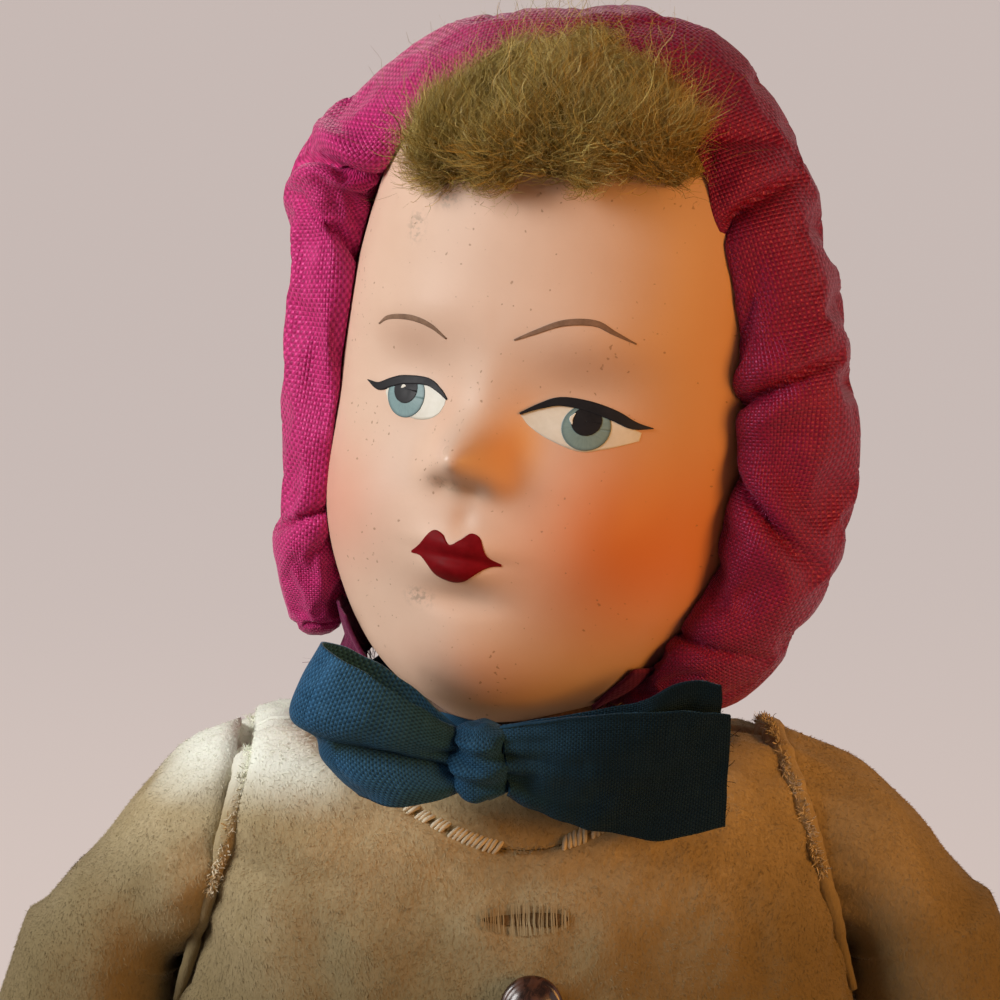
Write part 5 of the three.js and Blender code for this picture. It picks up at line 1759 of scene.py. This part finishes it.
def mohairMaterial(dark, middle, gold):
    # curled hair: its own tone for each strand over broad locks, with painted shade darkening the root
    material, tree, shader = newMaterial("mohair", 0.5, 0.35, 0.15, (1.0, 0.9, 0.6))
    tone, along, _ = split(clothPlace(tree))
    broad = useGroup(softMottle, Place=objectPlace(tree), Size=8.0, Contrast=2.4)["Mask"]
    colour = mixed(ramp(tone, 0.1, 0.75), dark, middle)
    colour = mixed(ramp(tone, 0.7, 1.0, 0.0, 0.9), colour, gold)
    colour = mixed(times(broad, 0.4), colour, gold)
    # painted shade at the root
    colour = mixed(ramp(along, 0.0, 0.45, 0.6, 0.0), colour, dark)
    feed(shader.inputs["Base Color"], colour)
    feed(shader.inputs["Roughness"], ramp(tone, 0.0, 1.0, 0.6, 0.42))
    return material


mohair = mohairMaterial((0.16, 0.105, 0.018), (0.4, 0.28, 0.06), (0.66, 0.5, 0.15))


def hairSurface(t, x):
    # the tuft's outside: a profile swept up from the hairline over the rim, drawn back and down to each side
    across = np.abs(x) / hair["halfWidth"]
    x = hair["shift"] + x * (1 - 0.36 * smoothStep(0.5, 1.0, t))
    y = lookUp(hair["profile"], t)[0]
    low = 24.2 + 0.19 * x + 0.9 * np.sin(x * 0.5 + 0.6) + 0.4 * np.sin(x * 1.15)
    high = 49.5 - 7.5 * across ** 2.2
    z = low + (high - low) * t
    y = y + 9.5 * across ** 2.3 * (1 - 0.35 * t) + 3.5 * smoothStep(0.8, 1.05, across)
    return np.stack([x + 0 * t, y, z], -1)


def matMaterial():
    material, tree, shader = newMaterial("hairMat", 0.8, 0.2)
    # the mat's streaks of darker and paler hair, with a bump along them
    streak = noise(scaled(objectPlace(tree), (1.2, 1.2, 0.5)), 1.0, 4.0, 0.65, 1.2)
    colour = mixed(ramp(streak, 0.35, 0.7), (0.13, 0.085, 0.016), (0.34, 0.235, 0.055))
    feed(shader.inputs["Base Color"], colour)
    addBump(shader, streak, 0.9, 0.6)
    return material


def makeHairMat():
    # the dense mat under the loose strands, a lumpy cushion that fills the tuft
    t, x = grid(shares(70), np.linspace(-1, 1, 120) * hair["halfWidth"])
    p = hairSurface(t, x)
    n = gridNormals(p)
    n *= np.sign(-n[..., 1].mean())
    outer = p + n * (1.1 * lumps(p, 13, 143) + 0.5 * lumps(p, 5, 144) - 1.1)[..., None]
    inner = outer - n * 3.0
    mat = shellPiece("hairMat", onHead(outer), onHead(inner), mohairMat, np.stack([x, t * 28], -1))
    place(mat, "head", "mohair")


def makeTuft(name, count, length, lift, seed, nodes):
    # strands rooted on the mat, combed up and a little to the doll's left, wavy, in loose locks
    dice = np.random.default_rng(seed)
    x = (dice.random(count) * 2 - 1) * hair["halfWidth"] * 0.985
    t = dice.random(count) ** 1.1 * 0.97
    root = hairSurface(t, x)
    up = unit(hairSurface(t + 0.02, x) - hairSurface(t - 0.02 * (t > 0.02), x))
    aside = unit(hairSurface(t, x + 0.3) - hairSurface(t, x - 0.3))
    out = unit(np.cross(aside, up))
    root = root + out * (1.1 * lumps(root, 13, 143))[:, None]
    lock = lumps(root, 9, 145)[:, None] * 0.7 + lumps(root, 3.5, 146)[:, None] * 0.45
    lock = lock + dice.normal(size=(count, 1)) * 0.4
    fringe = smoothStep(0.14, 0.0, t)[:, None] * dice.random((count, 1))
    first = up * (1 - 1.2 * fringe) + aside * lock
    first = first + out * (lift + 0.2 * dice.random((count, 1)) + 0.7 * fringe)
    last = up + aside * (0.16 + lock + dice.normal(size=(count, 1)) * 0.6)
    last = last + out * (dice.normal(size=(count, 1)) * 0.35 - 0.25 + lift)
    s = shares(hair["steps"])[None, :, None]
    way = unit((1 - s) * unit(first)[:, None] + s * unit(last)[:, None])
    shorter = 1 - 0.35 * smoothStep(0.12, 0.0, t) - 0.35 * smoothStep(0.6, 0.95, t)
    size = dice.uniform(*length, count)[:, None] * shorter[:, None]
    leaps = way[:, 1:] * size[..., None] / (hair["steps"] - 1)
    path = np.cumsum(np.concatenate([np.zeros((count, 1, 3)), leaps], 1), 1)
    turn = dice.uniform(1.0, 2.2, (count, 1)) * 2 * pi * s[..., 0] + dice.uniform(0, 2 * pi, (count, 1))
    wide = (dice.uniform(0.35, 1.15, (count, 1)) * smoothStep(0, 0.4, s[..., 0]))[..., None]
    curl = aside[:, None] * np.cos(turn)[..., None] + 0.6 * out[:, None] * np.sin(turn)[..., None]
    path = path + wide * curl
    path = path + (root - out * 1.2)[:, None]
    tuft = fibres(name, onHead(path), dice.uniform(0.6, 1.2, count) * hair["width"], mohair, 0.3, seed + 1)
    place(tuft, "head", "mohair", *nodes)


mohairMat = matMaterial()
makeHairMat()
makeTuft("mohairTuft", hair["strands"], hair["length"], 0.1, 151, ["hair_tuft"])
makeTuft("mohairCurls", hair["strands"], hair["length"], 0.1, 157, [])
makeTuft("strayHair", hair["strays"], hair["strayLength"], 0.75, 153, [])


def makeWeft():
    # the cloth strip under the hair, laid on the mask
    t, x = grid(shares(14), np.linspace(-22, 22, 80))
    z = 29 + 0.1 * x + t * 10
    outer, inner = facePoint(x, z, 0.6), facePoint(x, z, 0.12)
    strip = shellPiece("hairWeft", onHead(outer), onHead(inner), plainMuslin, np.stack([x, z], -1))
    place(strip, "head", "muslin", "hair_weft")


makeWeft()
print("hair made")


# Neck and button

neck = {"radius": 16.4, "low": -9.5, "high": 21.5, "rows": 60, "sides": 96}
button = {
    "radius": 4.7, "leanBack": 0.2, "sides": 96, "strands": 5, "strandRadius": 0.42, "ring": 0.75,
    "rows": [(0.02, 0), (0.55, 0), (0.86, 0.02), (0.97, 0.09), (1.0, 0.2), (0.985, 0.32), (0.93, 0.42),
             (0.88, 0.46), (0.83, 0.52), (0.72, 0.7), (0.52, 0.87), (0.28, 0.97), (0.02, 1.0)],
}


def makeNeck():
    # a stuffed muslin post with the soft creases of cloth drawn in under the head, coloured dark as painted
    # shade
    lean = np.array([sin(skull["lean"]), 0, cos(skull["lean"])])
    side = np.array([cos(skull["lean"]), 0, -sin(skull["lean"])])
    h, a = grid(np.linspace(neck["low"], neck["high"], neck["rows"]), ringOf(neck["sides"]))
    creases = 0.25 * np.sin(a * 17 + h * 0.2) * smoothStep(6, 20, np.abs(h - 6))
    radius = neck["radius"] * (1 - 0.03 * np.cos(h / 3.2)) + creases
    p = np.array([0, 0, skull["neckHeight"]]) + h[..., None] * lean + (radius * np.sin(a))[..., None] * side
    p = p - (radius * np.cos(a))[..., None] * backWay
    uv = wrapUv(neck["rows"], neck["sides"], 31.0, 104.0)
    post = gridPiece("muslinNeck", p, uv, muslinPaintedShade, wrap=True, cap=True)
    place(post, "torso", "muslin", "neck_stub")


makeNeck()


def buttonMaterial():
    material, tree, shader = newMaterial("buttonBrown", 0.22, 0.55, coat=0.3)
    place3 = objectPlace(tree)
    grain = noise(scaled(place3, (1.0, 1.0, 0.45)), 0.5, 3.0, 0.6, 1.5)
    scratch = useGroup(dirtSpecks, Place=place3, Size=0.6, Amount=0.5)["Mask"]
    colour = mixed(ramp(grain, 0.35, 0.7), (0.018, 0.007, 0.004), (0.075, 0.028, 0.014))
    feed(shader.inputs["Base Color"], mixed(times(scratch, 0.4), colour, (0.14, 0.09, 0.06)))
    feed(shader.inputs["Roughness"], ramp(grain, 0.3, 0.75, 0.18, 0.38))
    addBump(shader, grain, 0.08, 0.1)
    return material


def makeButton():
    # a dome turned about its own axis: rows of radius and height, with a rolled rim and a flat back
    low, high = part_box("front_button")
    centre = (np.array(low) + np.array(high)) / 2 / mm
    depth = (high[1] - low[1]) / mm
    shape = through(button["rows"], shares(70))
    a = ringOf(button["sides"])
    ring = shape[:, :1] * button["radius"]
    p = np.stack([ring * np.sin(a), high[1] / mm - shape[:, 1:] * depth + 0 * a, ring * np.cos(a)], -1)
    p[..., 1] += button["leanBack"] * p[..., 2]
    p += np.array([centre[0], 0, centre[2]])
    piece = gridPiece("domedButton", p, None, buttonMaterial(), wrap=True, cap=True)
    place(piece, "torso", "button", "front_button")
    low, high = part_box("button_thread")
    y = np.linspace(low[1] / mm - 0.3, high[1] / mm + 0.6, 9)
    strands = []
    for k in range(button["strands"]):
        turn = k * 2 * pi / button["strands"] + y * 0.5
        aside, above = button["ring"] * np.cos(turn), button["ring"] * np.sin(turn)
        path = np.stack([centre[0] + aside, y, centre[2] + above], -1)
        strands.append(tube("strand" + str(k), path, button["strandRadius"], plainThread))
    place(joined("buttonShank", strands), "torso", "muslin", "button_thread")


plainThread = paintMaterial("plainThread", (0.4, 0.31, 0.19), (0.58, 0.48, 0.34), 0.8, 1.5)
makeButton()
print("neck and button made")
